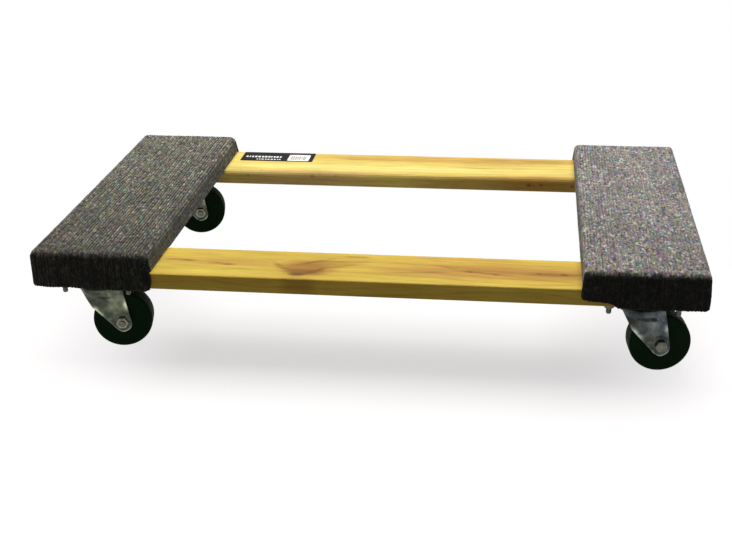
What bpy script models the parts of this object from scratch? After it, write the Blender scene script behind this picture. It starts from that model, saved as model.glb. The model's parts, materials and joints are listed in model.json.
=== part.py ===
"""Furniture dolly: two wooden rails, two carpet-covered cross boards and four
swivel plate casters.  Metres, +Z up, origin on the floor under the middle.
+X runs along the rails, -Y is the front long side."""

import math

import bmesh
import bpy
from mathutils import Matrix

# ------------------------------------------------------------------ sizes (m)
LENGTH = 0.762          # over the carpets, along X (30 in)
WIDTH = 0.457           # over the carpets, along Y (18 in)
GAP = 0.0003            # between touching pieces

CARPET_T = 0.0035       # carpet thickness
SKIRT_DROP = 0.0400     # end skirt, from the carpet's top to its hem
TUCK = 0.024            # carpet turned under each long side of a board
BOARD_W = 0.127         # cross board width, along X (5 in)
BOARD_T = 0.019         # 3/4 in stock
RAIL_W = 0.084          # rail width, along Y
RAIL_T = 0.019
RAIL_ROUND = 0.007      # rounding of each rail's inner upper edge

CASTER_H = 0.0915       # floor to the mounting plate's top
CASTER_X = 0.3135       # swivel axes
CASTER_Y = 0.1840
TRAIL = 0.021           # swivel axis to axle, horizontally
WHEEL_R = 0.0349        # 2-3/4 in wheel
WHEEL_HALF = 0.0135
HUB_HALF = 0.0150
HUB_R = 0.0115
BORE_R = 0.0060
BUSH_R = 0.0057
BUSH_IN = 0.0043
AXLE_R = 0.00395        # 5/16 in bolt
LEG_OUT = 0.0180        # fork leg's outer face from the wheel's middle
FORK_T = 0.0023
RIM_R = 0.0275          # fork crown radius
RIM_Z = 0.0766          # lower edge of the crown's rim
CROWN = [(0.0056, 0.0822), (0.0178, 0.0822), (0.0210, 0.0808),
         (0.0242, 0.0822), (0.0266, 0.0815), (RIM_R, 0.0794), (RIM_R, RIM_Z)]
LEG_END_R = 0.0105      # rounded foot of each leg
LEG_DROP = 0.0032       # its centre below the axle
KINK_X, KINK_Z = -0.0123, 0.0538    # bend in the leading edge
BALL_RING_R = 0.0210
BALL_R = 0.0022
BALL_Z = 0.0836
PLATE_X, PLATE_Y, PLATE_T = 0.092, 0.064, 0.0025
BOLT_X, BOLT_Y = 0.038, 0.0222      # half the plate's bolt pattern
BOLT_R = 0.0031
HOLE_R = 0.0034
NUT_R = 0.0062
BOLT_LEN = 0.0508        # 1/4 x 2 in carriage bolt, under its head
HEX_R = 0.0073          # axle bolt head and nut, across corners / 2
LABEL_BOX = (-0.2295, -0.1245, 0.1855, 0.2235)

# caster name: (x side, y side, rest swivel in degrees, side of the axle nut)
CASTERS = {
    "front_left": (-1, -1, 12.0, -1),
    "front_right": (1, -1, 6.0, 1),
    "rear_left": (-1, 1, 12.0, -1),
    "rear_right": (1, 1, 9.0, 1),
}

# ------------------------------------------------------------ derived heights
RAIL_Z0 = CASTER_H + GAP
RAIL_Z1 = RAIL_Z0 + RAIL_T
BOARD_Z0 = RAIL_Z1 + GAP
BOARD_Z1 = BOARD_Z0 + BOARD_T
TOP_Z = BOARD_Z1 + GAP + CARPET_T
BOARD_X1 = LENGTH / 2 - CARPET_T - GAP
BOARD_X0 = BOARD_X1 - BOARD_W
BOARD_Y = WIDTH / 2 - CARPET_T - GAP
RAIL_IN = BOARD_Y - RAIL_W
HEAD_Z = BOARD_Z1 - 0.0037              # underside of the plate bolts' heads


# ------------------------------------------------------------------ utilities
for old in list(bpy.data.objects):
    bpy.data.objects.remove(old, do_unlink=True)

PARTS = bpy.data.collections.new("furniture_dolly")
CUTTERS = bpy.data.collections.new("cutters")
bpy.context.scene.collection.children.link(PARTS)
bpy.context.scene.collection.children.link(CUTTERS)


def material(name, rgb, rough, metal=0.0):
    mat = bpy.data.materials.new(name)
    mat.use_nodes = True
    bsdf = mat.node_tree.nodes["Principled BSDF"]
    bsdf.inputs["Base Color"].default_value = (*rgb, 1.0)
    bsdf.inputs["Roughness"].default_value = rough
    bsdf.inputs["Metallic"].default_value = metal
    mat.diffuse_color = (*rgb, 1.0)
    return mat


def add(name, mesh, mat=None, parent=None, collection=None):
    ob = bpy.data.objects.new(name, mesh)
    (collection or PARTS).objects.link(ob)
    if mat is not None:
        if mesh.materials:
            ob.material_slots[0].link = "OBJECT"
            ob.material_slots[0].material = mat
        else:
            mesh.materials.append(mat)
    if parent is not None:
        ob.parent = parent
    return ob


def smooth(mesh, angle=35.0):
    mesh.shade_smooth()
    mesh.set_sharp_from_angle(angle=math.radians(angle))


def applied(ob):
    """The object's evaluated mesh, with its modifiers in it, as a new mesh."""
    bpy.context.view_layer.update()
    graph = bpy.context.evaluated_depsgraph_get()
    mesh = bpy.data.meshes.new_from_object(ob.evaluated_get(graph))
    return mesh


def bake(ob):
    mesh = applied(ob)
    ob.modifiers.clear()
    ob.data = mesh
    return ob


def box(name, x0, x1, y0, y1, z0, z1):
    mesh = bpy.data.meshes.new(name)
    bm = bmesh.new()
    bmesh.ops.create_cube(bm, size=1.0)
    bmesh.ops.scale(bm, vec=(x1 - x0, y1 - y0, z1 - z0), verts=bm.verts)
    bmesh.ops.translate(bm, vec=((x0 + x1) / 2, (y0 + y1) / 2, (z0 + z1) / 2),
                        verts=bm.verts)
    bm.to_mesh(mesh)
    bm.free()
    return mesh


def round_edges(mesh, radius, segments, want):
    """Bevels the edges whose midpoint and direction satisfy want()."""
    bm = bmesh.new()
    bm.from_mesh(mesh)
    chosen = []
    for edge in bm.edges:
        a, b = edge.verts[0].co, edge.verts[1].co
        if want((a + b) / 2, (b - a).normalized()):
            chosen.append(edge)
    bmesh.ops.bevel(bm, geom=chosen, offset=radius, segments=segments,
                    profile=0.5, affect="EDGES", clamp_overlap=True)
    bm.to_mesh(mesh)
    bm.free()
    return mesh


def turned(name, profile, steps, ring=False, hexes=()):
    """A profile of (radius, height) points, turned about Z.  It starts at the
    top and runs down its outer side.  hexes lists height spans whose outline
    is a hexagon instead of a circle."""
    mesh = bpy.data.meshes.new(name)
    edges = [(i, i + 1) for i in range(len(profile) - 1)]
    if ring:
        edges.append((len(profile) - 1, 0))
    mesh.from_pydata([(r, 0.0, z) for r, z in profile], edges, [])
    ob = add(name, mesh)
    screw = ob.modifiers.new("turn", "SCREW")
    screw.angle = math.tau
    screw.steps = steps
    screw.render_steps = steps
    screw.axis = "Z"
    screw.use_merge_vertices = True
    screw.merge_threshold = 0.00001
    screw.use_smooth_shade = False
    result = applied(ob)
    bpy.data.objects.remove(ob, do_unlink=True)
    for z0, z1, r_min in hexes:
        for v in result.vertices:
            r = math.hypot(v.co.x, v.co.y)
            if z0 - 1e-6 <= v.co.z <= z1 + 1e-6 and r > r_min:
                k = round(math.atan2(v.co.y, v.co.x) / math.radians(30.0))
                if k % 2:
                    f = math.cos(math.radians(30.0))
                    v.co.x *= f
                    v.co.y *= f
    smooth(result)
    return result


def cylinder(x, y, z0, z1, radius, steps=12, axis="Z"):
    """A cutter cylinder as a bmesh."""
    bm = bmesh.new()
    bmesh.ops.create_cone(bm, cap_ends=True, segments=steps, radius1=radius,
                          radius2=radius, depth=z1 - z0)
    if axis == "Y":
        bmesh.ops.rotate(bm, matrix=Matrix.Rotation(math.pi / 2, 3, "X"),
                         verts=bm.verts)
    bmesh.ops.translate(bm, vec=(x, y, (z0 + z1) / 2), verts=bm.verts)
    return bm


def cutter(name, pieces):
    """One hidden cutter from several separate bmeshes."""
    mesh = bpy.data.meshes.new(name)
    whole = bmesh.new()
    for bm in pieces:
        tmp = bpy.data.meshes.new("tmp")
        bm.to_mesh(tmp)
        bm.free()
        whole.from_mesh(tmp)
        bpy.data.meshes.remove(tmp)
    whole.to_mesh(mesh)
    whole.free()
    ob = add(name, mesh, collection=CUTTERS)
    ob.hide_render = True
    ob.display_type = "WIRE"
    return ob


def boolean(ob, other, operation="DIFFERENCE"):
    mod = ob.modifiers.new(operation.lower(), "BOOLEAN")
    mod.operation = operation
    mod.solver = "EXACT"
    mod.object = other
    return ob


def box_piece(x0, x1, y0, y1, z0, z1):
    bm = bmesh.new()
    bmesh.ops.create_cube(bm, size=1.0)
    bmesh.ops.scale(bm, vec=(x1 - x0, y1 - y0, z1 - z0), verts=bm.verts)
    bmesh.ops.translate(bm, vec=((x0 + x1) / 2, (y0 + y1) / 2, (z0 + z1) / 2),
                        verts=bm.verts)
    return bm


# ------------------------------------------------------------------ materials
PINE = material("pine_rail", (0.62, 0.42, 0.13), 0.55)
PINE_BOARD = material("pine_board", (0.58, 0.40, 0.17), 0.65)
CARPET = material("grey_carpet", (0.11, 0.11, 0.115), 0.95)
STICKER = material("sticker", (0.03, 0.03, 0.03), 0.45)
ZINC = material("zinc_plated_steel", (0.48, 0.50, 0.48), 0.34, 1.0)
ZINC_DARK = material("zinc_fasteners", (0.40, 0.41, 0.40), 0.38, 1.0)
BALL_STEEL = material("bearing_steel", (0.55, 0.55, 0.56), 0.2, 1.0)
BRONZE = material("sleeve_steel", (0.36, 0.34, 0.31), 0.4, 1.0)
RUBBER = material("dark_rubber", (0.012, 0.020, 0.013), 0.55)


def own(mat, name):
    """Each piece has a material of its own, copied from its family's."""
    copy = mat.copy()
    copy.name = name
    return copy


# ------------------------------------------------------------- the bolt holes
BOLTS = []              # (caster, number, x, y)
for cname, (sx, sy, swivel, nut) in CASTERS.items():
    n = 0
    for ox in (-1, 1):
        for oy in (-1, 1):
            n += 1
            BOLTS.append((cname, n, sx * CASTER_X + ox * BOLT_X,
                          sy * CASTER_Y + oy * BOLT_Y))

# ---------------------------------------------------------------------- rails
for side, sy in (("front", -1), ("rear", 1)):
    y_out, y_in = sy * BOARD_Y, sy * RAIL_IN
    mesh = box("rail_" + side, -BOARD_X1, BOARD_X1, min(y_out, y_in),
               max(y_out, y_in), RAIL_Z0, RAIL_Z1)
    round_edges(mesh, RAIL_ROUND, 4,
                lambda m, d: abs(d.x) > 0.9 and m.z > RAIL_Z1 - 1e-4
                and abs(m.y) < RAIL_IN + 1e-4)
    round_edges(mesh, 0.0008, 1,
                lambda m, d: abs(d.x) > 0.9 and abs(m.y) > BOARD_Y - 1e-4)
    smooth(mesh)
    rail = add("rail_" + side, mesh, own(PINE, "rail_" + side))
    holes = [cylinder(x, y, RAIL_Z0 - 0.01, RAIL_Z1 + 0.01, HOLE_R)
             for c, n, x, y in BOLTS if c.startswith(side)]
    boolean(rail, cutter("rail_holes_" + side, holes))

# --------------------------------------------------------------- cross boards
for side, sx in (("left", -1), ("right", 1)):
    x0, x1 = sorted((sx * BOARD_X0, sx * BOARD_X1))
    mesh = box("board_" + side, x0, x1, -BOARD_Y, BOARD_Y, BOARD_Z0, BOARD_Z1)
    round_edges(mesh, 0.003, 2, lambda m, d: m.z > BOARD_Z1 - 1e-4)
    smooth(mesh)
    board = add("board_" + side, mesh, own(PINE_BOARD, "board_" + side))
    holes = []
    for c, n, x, y in BOLTS:
        if c.endswith(side):
            holes.append(turned("hole", [(0, BOARD_Z1 + 0.01), (0.0082, BOARD_Z1 + 0.01),
                                         (0.0082, BOARD_Z1 - 0.0040),
                                         (HOLE_R, BOARD_Z1 - 0.0040),
                                         (HOLE_R, BOARD_Z0 - 0.01),
                                         (0, BOARD_Z0 - 0.01)], 12))
            bm = bmesh.new()
            bm.from_mesh(holes[-1])
            bmesh.ops.translate(bm, vec=(x, y, 0), verts=bm.verts)
            holes[-1] = bm
    boolean(board, cutter("board_holes_" + side, holes))

# -------------------------------------------------------------------- carpets
# A strip of carpet over each board: down both long sides and turned under
# between the rails, and hanging over the rails' outer faces at the ends.
HEM_Z = TOP_Z - SKIRT_DROP
TUCK_Z = BOARD_Z0 - GAP - CARPET_T
for side, sx in (("left", -1), ("right", 1)):
    x0, x1 = sorted((sx * (BOARD_X0 - GAP - CARPET_T), sx * LENGTH / 2))
    bx0, bx1 = x0 + CARPET_T, x1 - CARPET_T          # room for the board
    mesh = box("carpet_" + side, x0, x1, -WIDTH / 2, WIDTH / 2, HEM_Z, TOP_Z)
    round_edges(mesh, 0.0042, 3, lambda m, d: m.z > TOP_Z - 1e-4
                or abs(d.z) > 0.9)
    smooth(mesh)
    carpet = add("carpet_" + side, mesh, own(CARPET, "carpet_" + side))
    ys = BOARD_Y + GAP                               # inside of the end skirts
    yr = RAIL_IN - 2 * GAP                           # inner faces of the rails
    big = 0.05
    board_space = box_piece(bx0, bx1, -ys, ys, BOARD_Z0 - GAP, TOP_Z - CARPET_T)
    under = box_piece(bx0 + TUCK, bx1 - TUCK, -ys, ys, 0.0, BOARD_Z0 + 0.002)
    rails = [box_piece(x0 - big, x1 + big, -ys, -yr, 0.0, BOARD_Z0 - GAP / 2),
             box_piece(x0 - big, x1 + big, yr, ys, 0.0, BOARD_Z0 - GAP / 2)]
    below = box_piece(x0 - big, x1 + big, -yr - 0.001, yr + 0.001, 0.0, TUCK_Z)
    boolean(carpet, cutter("carpet_board_space_" + side, [board_space]))
    boolean(carpet, cutter("carpet_under_" + side, [under]))
    boolean(carpet, cutter("carpet_rail_front_" + side, [rails[0]]))
    boolean(carpet, cutter("carpet_rail_rear_" + side, [rails[1]]))
    boolean(carpet, cutter("carpet_below_" + side, [below]))

# ---------------------------------------------------------------------- label
lx0, lx1, ly0, ly1 = LABEL_BOX
mesh = box("label", lx0, lx1, ly0, ly1, RAIL_Z1 + 0.0001, RAIL_Z1 + 0.0004)
round_edges(mesh, 0.002, 3, lambda m, d: abs(d.z) > 0.9)
add("label", mesh, own(STICKER, "label"))


# ================================================================== casters
def make_plate():
    """Mounting plate: a rounded slab with four bolt holes, pressed down in
    the middle into a boss that carries the upper ball race."""
    z1 = CASTER_H
    z0 = z1 - PLATE_T
    mesh = box("plate", -PLATE_X / 2, PLATE_X / 2, -PLATE_Y / 2, PLATE_Y / 2, z0, z1)
    round_edges(mesh, 0.008, 3, lambda m, d: abs(d.z) > 0.9)
    slab = add("plate_blank", mesh)
    holes = [cylinder(ox * BOLT_X, oy * BOLT_Y, z0 - 0.01, z1 + 0.01, HOLE_R)
             for ox in (-1, 1) for oy in (-1, 1)]
    holes.append(cylinder(0, 0, z0 - 0.01, z1 + 0.01, 0.0130, 20))
    boolean(slab, cutter("plate_holes", holes))
    lower = 0.0850
    boss = add("boss", turned("boss", [
        (0.0255, z0 + 0.0006), (0.0255, lower + 0.0012), (0.0242, lower),
        (0.0210, lower + 0.0014), (0.0178, lower), (0.0054, lower),
        (0.0054, 0.0878), (0.0126, 0.0878), (0.0126, z0 + 0.0006)], 20, ring=True),
        collection=CUTTERS)
    boss.hide_render = True
    boss.display_type = "WIRE"
    boolean(slab, boss, "UNION")
    result = applied(slab)
    bpy.data.objects.remove(slab, do_unlink=True)
    smooth(result)
    return result


def fork_surface(divisions, rows):
    """Outer surface of the pressed fork, swivel axis at the origin: a round
    crown with the lower ball race, whose front and rear arcs run on down as
    two tapering legs to the axle."""
    bm = bmesh.new()
    rings = []
    for r, z in CROWN:
        rings.append([bm.verts.new((r * math.cos(math.tau * j / divisions),
                                    r * math.sin(math.tau * j / divisions), z))
                      for j in range(divisions)])
    for a, b in zip(rings, rings[1:]):
        for j in range(divisions):
            k = (j + 1) % divisions
            bm.faces.new((a[j], b[j], b[k], a[k]))
    half = round(60.0 / (360.0 / divisions))         # arc of 60 degrees each way
    rim = rings[-1]
    reach = RIM_R * math.sin(math.radians(60.0))
    cx, cz, r = TRAIL, WHEEL_R - LEG_DROP, LEG_END_R
    # below its bend the leading edge runs straight to its tangent on the foot
    dx, dz = cx - KINK_X, cz - KINK_Z
    dist = math.hypot(dx, dz)
    turn = math.atan2(dz, dx) - math.asin(r / dist)
    run = math.sqrt(dist * dist - r * r)
    tx, tz = KINK_X + run * math.cos(turn), KINK_Z + run * math.sin(turn)

    def left(z):
        if z >= KINK_Z:
            return -reach + (KINK_X + reach) * (RIM_Z - z) / (RIM_Z - KINK_Z)
        if z >= tz:
            return KINK_X + (tx - KINK_X) * (KINK_Z - z) / (KINK_Z - tz)
        return cx - math.sqrt(max(r * r - (z - cz) ** 2, 0.0))

    def right(z):
        if z >= cz:
            return reach + (cx + r - reach) * (RIM_Z - z) / (RIM_Z - cz)
        return cx + math.sqrt(max(r * r - (z - cz) ** 2, 0.0))

    for side in (-1, 1):
        middle = round((270.0 if side < 0 else 90.0) / (360.0 / divisions))
        cols = list(range(-half, half + 1))
        previous = [rim[(middle + (c if side < 0 else -c)) % divisions] for c in cols]
        top = [(v.co.x, v.co.y) for v in previous]
        for z in rows:
            t = min(1.0, (RIM_Z - z) / 0.015)
            w = t * t * (3.0 - 2.0 * t)
            x0, x1 = left(z), right(z)
            row = []
            for x, y in top:
                u = x / reach
                row.append(bm.verts.new(((x0 + x1) / 2 + u * (x1 - x0) / 2,
                                         y + (side * LEG_OUT - y) * w, z)))
            for i in range(len(row) - 1):
                quad = (previous[i], row[i], row[i + 1], previous[i + 1])
                bm.faces.new(quad if side < 0 else quad[::-1])
            previous = row
    mesh = bpy.data.meshes.new("fork")
    bm.to_mesh(mesh)
    bm.free()
    return mesh


def make_fork():
    rows = [0.0741, 0.0706, 0.0660, 0.0604, 0.0538, 0.0420, 0.0317, 0.0262, 0.0232, 0.02155]
    fork = add("fork_blank", fork_surface(24, rows))
    solid = fork.modifiers.new("gauge", "SOLIDIFY")
    solid.thickness = FORK_T
    solid.offset = -1.0
    solid.use_even_offset = True
    boolean(fork, cutter("axle_hole", [cylinder(TRAIL, 0, WHEEL_R - 0.04,
                                                WHEEL_R + 0.04, BUSH_IN, 12, "Y")]))
    result = applied(fork)
    bpy.data.objects.remove(fork, do_unlink=True)
    smooth(result)
    return result


def along_y(mesh):
    """Turns a mesh made about Z so that its axis is Y, top towards -Y."""
    mesh.transform(Matrix.Rotation(math.pi / 2, 4, "X"))
    return mesh


def make_ball_ring():
    """A full row of balls, joined where they touch into one ring."""
    balls, per = 10, 2
    bpy.ops.mesh.primitive_torus_add(major_segments=balls * per, minor_segments=5,
                                     major_radius=BALL_RING_R, minor_radius=BALL_R)
    ob = bpy.context.object
    mesh = ob.data.copy()
    bpy.data.objects.remove(ob, do_unlink=True)
    for v in mesh.vertices:
        a = math.atan2(v.co.y, v.co.x)
        k = round(a / math.tau * balls * per) % per
        f = 1.0 if k == 0 else 0.55
        r = math.hypot(v.co.x, v.co.y)
        s = (BALL_RING_R + (r - BALL_RING_R) * f) / r
        v.co = (v.co.x * s, v.co.y * s, v.co.z * f + BALL_Z)
    smooth(mesh, 60)
    return mesh


MESHES = {
    "plate": make_plate(),
    "kingpin": turned("kingpin", [
        (0, 0.0906), (0.0085, 0.0906), (0.0095, 0.0898), (0.0095, 0.0881),
        (0.0050, 0.0881), (0.0050, 0.0775), (0.0090, 0.0775), (0.0090, 0.0759),
        (0.0070, 0.0748), (0, 0.0748)], 12),
    "ball_ring": make_ball_ring(),
    "washer": turned("washer", [(0.0105, 0.0796), (0.0105, 0.0778),
                                (0.0054, 0.0778), (0.0054, 0.0796)], 12, ring=True),
    "fork": make_fork(),
    "wheel": along_y(turned("wheel", [
        (HUB_R, HUB_HALF), (HUB_R + 0.0010, WHEEL_HALF - 0.0006),
        (0.0325, WHEEL_HALF), (WHEEL_R, WHEEL_HALF - 0.0026),
        (WHEEL_R, 0.0026 - WHEEL_HALF), (0.0325, -WHEEL_HALF),
        (HUB_R + 0.0010, 0.0006 - WHEEL_HALF), (HUB_R, -HUB_HALF),
        (BORE_R, -HUB_HALF), (BORE_R, HUB_HALF)], 28, ring=True)),
    "bushing": along_y(turned("bushing", [
        (BUSH_R, 0.0153), (BUSH_R, -0.0153), (BUSH_IN, -0.0153), (BUSH_IN, 0.0153)],
        12, ring=True)),
    "axle_bolt": along_y(turned("axle_bolt", [
        (0, 0.0258), (AXLE_R, 0.0258), (AXLE_R, -LEG_OUT - GAP),
        (HEX_R, -LEG_OUT - GAP), (HEX_R, -LEG_OUT - 0.0055),
        (0, -LEG_OUT - 0.0058)], 12,
        hexes=[(-0.03, -LEG_OUT - GAP / 2, 0.005)])),
    "axle_nut": along_y(turned("axle_nut", [
        (HEX_R, LEG_OUT + 0.0062), (HEX_R, LEG_OUT + GAP), (BUSH_IN, LEG_OUT + GAP),
        (BUSH_IN, LEG_OUT + 0.0062)], 12, ring=True,
        hexes=[(0.01, 0.03, 0.005)])),
    "plate_bolt": turned("plate_bolt", [
        (0, BOARD_Z1 - 0.0006), (0.0050, BOARD_Z1 - 0.0014),
        (0.0076, HEAD_Z), (BOLT_R, HEAD_Z),
        (BOLT_R, 0.0887), (NUT_R, 0.0887), (NUT_R, 0.0832), (BOLT_R, 0.0832),
        (BOLT_R, HEAD_Z - BOLT_LEN), (0, HEAD_Z - BOLT_LEN)], 12,
        hexes=[(0.0826, 0.0891, 0.004)]),
}


def empty(name, parent, location, turn=0.0):
    ob = bpy.data.objects.new(name, None)
    ob.empty_display_size = 0.03
    PARTS.objects.link(ob)
    ob.parent = parent
    ob.location = location
    ob.rotation_euler = (0.0, 0.0, turn)
    return ob


for cname, (sx, sy, swivel, nut) in CASTERS.items():
    fixed = empty("caster_" + cname, None, (sx * CASTER_X, sy * CASTER_Y, 0))
    turning = empty("swivel_" + cname, fixed, (0, 0, 0), math.radians(swivel))
    axle = empty("axle_" + cname, turning, (TRAIL, 0, WHEEL_R))

    def place(node, key, mat, parent, turn=0.0):
        full = node + "_" + cname
        ob = add(full, MESHES[key], own(mat, full), parent)
        ob.rotation_euler = (0.0, 0.0, turn)
        return ob

    place("caster_plate", "plate", ZINC, fixed)
    place("kingpin", "kingpin", ZINC_DARK, fixed)
    place("ball_ring", "ball_ring", BALL_STEEL, fixed)
    place("thrust_washer", "washer", ZINC_DARK, fixed)
    place("fork", "fork", ZINC, turning)
    place("wheel", "wheel", RUBBER, axle)
    place("axle_bushing", "bushing", BRONZE, axle)
    flip = 0.0 if nut < 0 else math.pi
    place("axle_bolt", "axle_bolt", ZINC_DARK, axle, flip)
    place("axle_nut", "axle_nut", ZINC_DARK, axle, flip)

for cname, n, x, y in BOLTS:
    full = "plate_bolt_%s_%d" % (cname, n)
    bolt = add(full, MESHES["plate_bolt"], own(ZINC_DARK, full))
    bolt.location = (x, y, 0.0)
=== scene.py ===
"""Looks of the furniture dolly: carpet, wood, zinc-plated casters, rubber
wheels, a generic sticker, a pale floor and soft light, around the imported
frame."""
import json
import math

import bmesh
import bpy
import numpy as np
from mathutils import Matrix, Vector


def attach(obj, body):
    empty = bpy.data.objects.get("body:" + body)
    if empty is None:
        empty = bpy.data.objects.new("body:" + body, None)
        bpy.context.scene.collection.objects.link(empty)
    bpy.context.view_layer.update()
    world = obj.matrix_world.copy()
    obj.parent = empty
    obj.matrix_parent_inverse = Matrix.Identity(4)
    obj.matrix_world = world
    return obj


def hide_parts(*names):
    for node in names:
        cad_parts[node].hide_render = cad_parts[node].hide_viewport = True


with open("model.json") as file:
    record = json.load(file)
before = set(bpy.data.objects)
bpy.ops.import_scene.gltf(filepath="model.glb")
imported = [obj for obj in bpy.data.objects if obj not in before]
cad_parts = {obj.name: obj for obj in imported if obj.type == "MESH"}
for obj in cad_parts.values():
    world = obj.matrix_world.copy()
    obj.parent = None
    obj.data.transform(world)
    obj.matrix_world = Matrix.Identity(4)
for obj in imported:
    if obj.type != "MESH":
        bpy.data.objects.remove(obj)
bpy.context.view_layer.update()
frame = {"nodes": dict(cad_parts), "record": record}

NODES = frame["nodes"]

# ------------------------------------------------------- sizes of the frame
CASTERS = {                                     # x side, y side, turn, nut side
    "front_left": (-1, -1, 12.0, -1),
    "front_right": (1, -1, 6.0, 1),
    "rear_left": (-1, 1, 12.0, -1),
    "rear_right": (1, 1, 9.0, 1),
}
CASTER_X, CASTER_Y = 0.3135, 0.1840
LIFT = 0.0016                   # pieces above the axles, over their drawn height
TRAIL, WHEEL_R = 0.021, 0.0349
LEG_OUT, FORK_T = 0.0180, 0.0023
RIM_R, RIM_Z = 0.0275, 0.0750
KINK_X, KINK_Z = -0.0123, 0.0538    # bend in the fork legs' leading edge


def lin(r, g, b):
    """sRGB 0-255 to linear."""
    out = []
    for c in (r, g, b):
        c /= 255.0
        out.append(c / 12.92 if c <= 0.04045 else ((c + 0.055) / 1.055) ** 2.4)
    return (*out, 1.0)


# =============================================================== materials
class Graph:
    """A small writer of shader nodes."""

    def __init__(self, name):
        self.mat = bpy.data.materials.new(name)
        self.mat.use_nodes = True
        self.nt = self.mat.node_tree
        self.bsdf = self.nt.nodes["Principled BSDF"]
        self.out = self.nt.nodes["Material Output"]

    def put(self, socket, value):
        if isinstance(value, bpy.types.NodeSocket):
            self.nt.links.new(value, socket)
        elif value is not None:
            socket.default_value = value

    def node(self, kind, props=None, **inputs):
        n = self.nt.nodes.new(kind)
        for k, v in (props or {}).items():
            setattr(n, k, v)
        for k, v in inputs.items():
            key = int(k[1:]) if k[0] == "_" and k[1:].isdigit() else k.replace("_", " ")
            self.put(n.inputs[key], v)
        return n

    def math(self, op, a, b=None, c=None, clamp=False):
        n = self.nt.nodes.new("ShaderNodeMath")
        n.operation = op
        n.use_clamp = clamp
        for i, v in enumerate((a, b, c)):
            if v is not None:
                self.put(n.inputs[i], v)
        return n.outputs[0]

    def vmath(self, op, a, b=None):
        n = self.nt.nodes.new("ShaderNodeVectorMath")
        n.operation = op
        self.put(n.inputs[0], a)
        if b is not None:
            self.put(n.inputs[1], b)
        return n.outputs["Value" if op in ("LENGTH", "DISTANCE", "DOT_PRODUCT") else "Vector"]

    def coords(self):
        return self.nt.nodes.new("ShaderNodeTexCoord").outputs["Object"]

    def mapping(self, vec, scale=(1, 1, 1), loc=(0, 0, 0), rot=(0, 0, 0)):
        return self.node("ShaderNodeMapping", None, Vector=vec, Scale=scale,
                         Location=loc, Rotation=rot).outputs[0]

    def noise(self, vec, scale, detail=4.0, rough=0.5, distortion=0.0):
        return self.node("ShaderNodeTexNoise", None, Vector=vec, Scale=scale,
                         Detail=detail, Roughness=rough, Distortion=distortion)

    def ramp(self, fac, stops, interpolation="LINEAR"):
        n = self.nt.nodes.new("ShaderNodeValToRGB")
        n.color_ramp.interpolation = interpolation
        els = n.color_ramp.elements
        while len(els) < len(stops):
            els.new(0.5)
        for e, (p, c) in zip(els, stops):
            e.position = p
            e.color = c if len(c) == 4 else (*c, 1.0)
        self.put(n.inputs[0], fac)
        return n.outputs["Color"]

    def value_ramp(self, fac, stops):
        return self.ramp(fac, [(p, (v, v, v, 1.0)) for p, v in stops])

    def mix(self, fac, a, b, blend="MIX"):
        n = self.nt.nodes.new("ShaderNodeMix")
        n.data_type = "RGBA"
        n.blend_type = blend
        n.clamp_factor = True
        self.put(n.inputs[0], fac)
        self.put(n.inputs[6], a)
        self.put(n.inputs[7], b)
        return n.outputs[2]

    def bump(self, height, strength, distance, normal=None):
        n = self.nt.nodes.new("ShaderNodeBump")
        n.inputs["Strength"].default_value = strength
        n.inputs["Distance"].default_value = distance
        self.put(n.inputs["Height"], height)
        if normal is not None:
            self.put(n.inputs["Normal"], normal)
        return n.outputs[0]

    def finish(self, color=None, rough=None, metal=None, normal=None, **fixed):
        b = self.bsdf
        self.put(b.inputs["Base Color"], color)
        self.put(b.inputs["Roughness"], rough)
        self.put(b.inputs["Metallic"], metal)
        if normal is not None:
            self.put(b.inputs["Normal"], normal)
        for k, v in fixed.items():
            b.inputs[k.replace("_", " ")].default_value = v
        return self.mat


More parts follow.
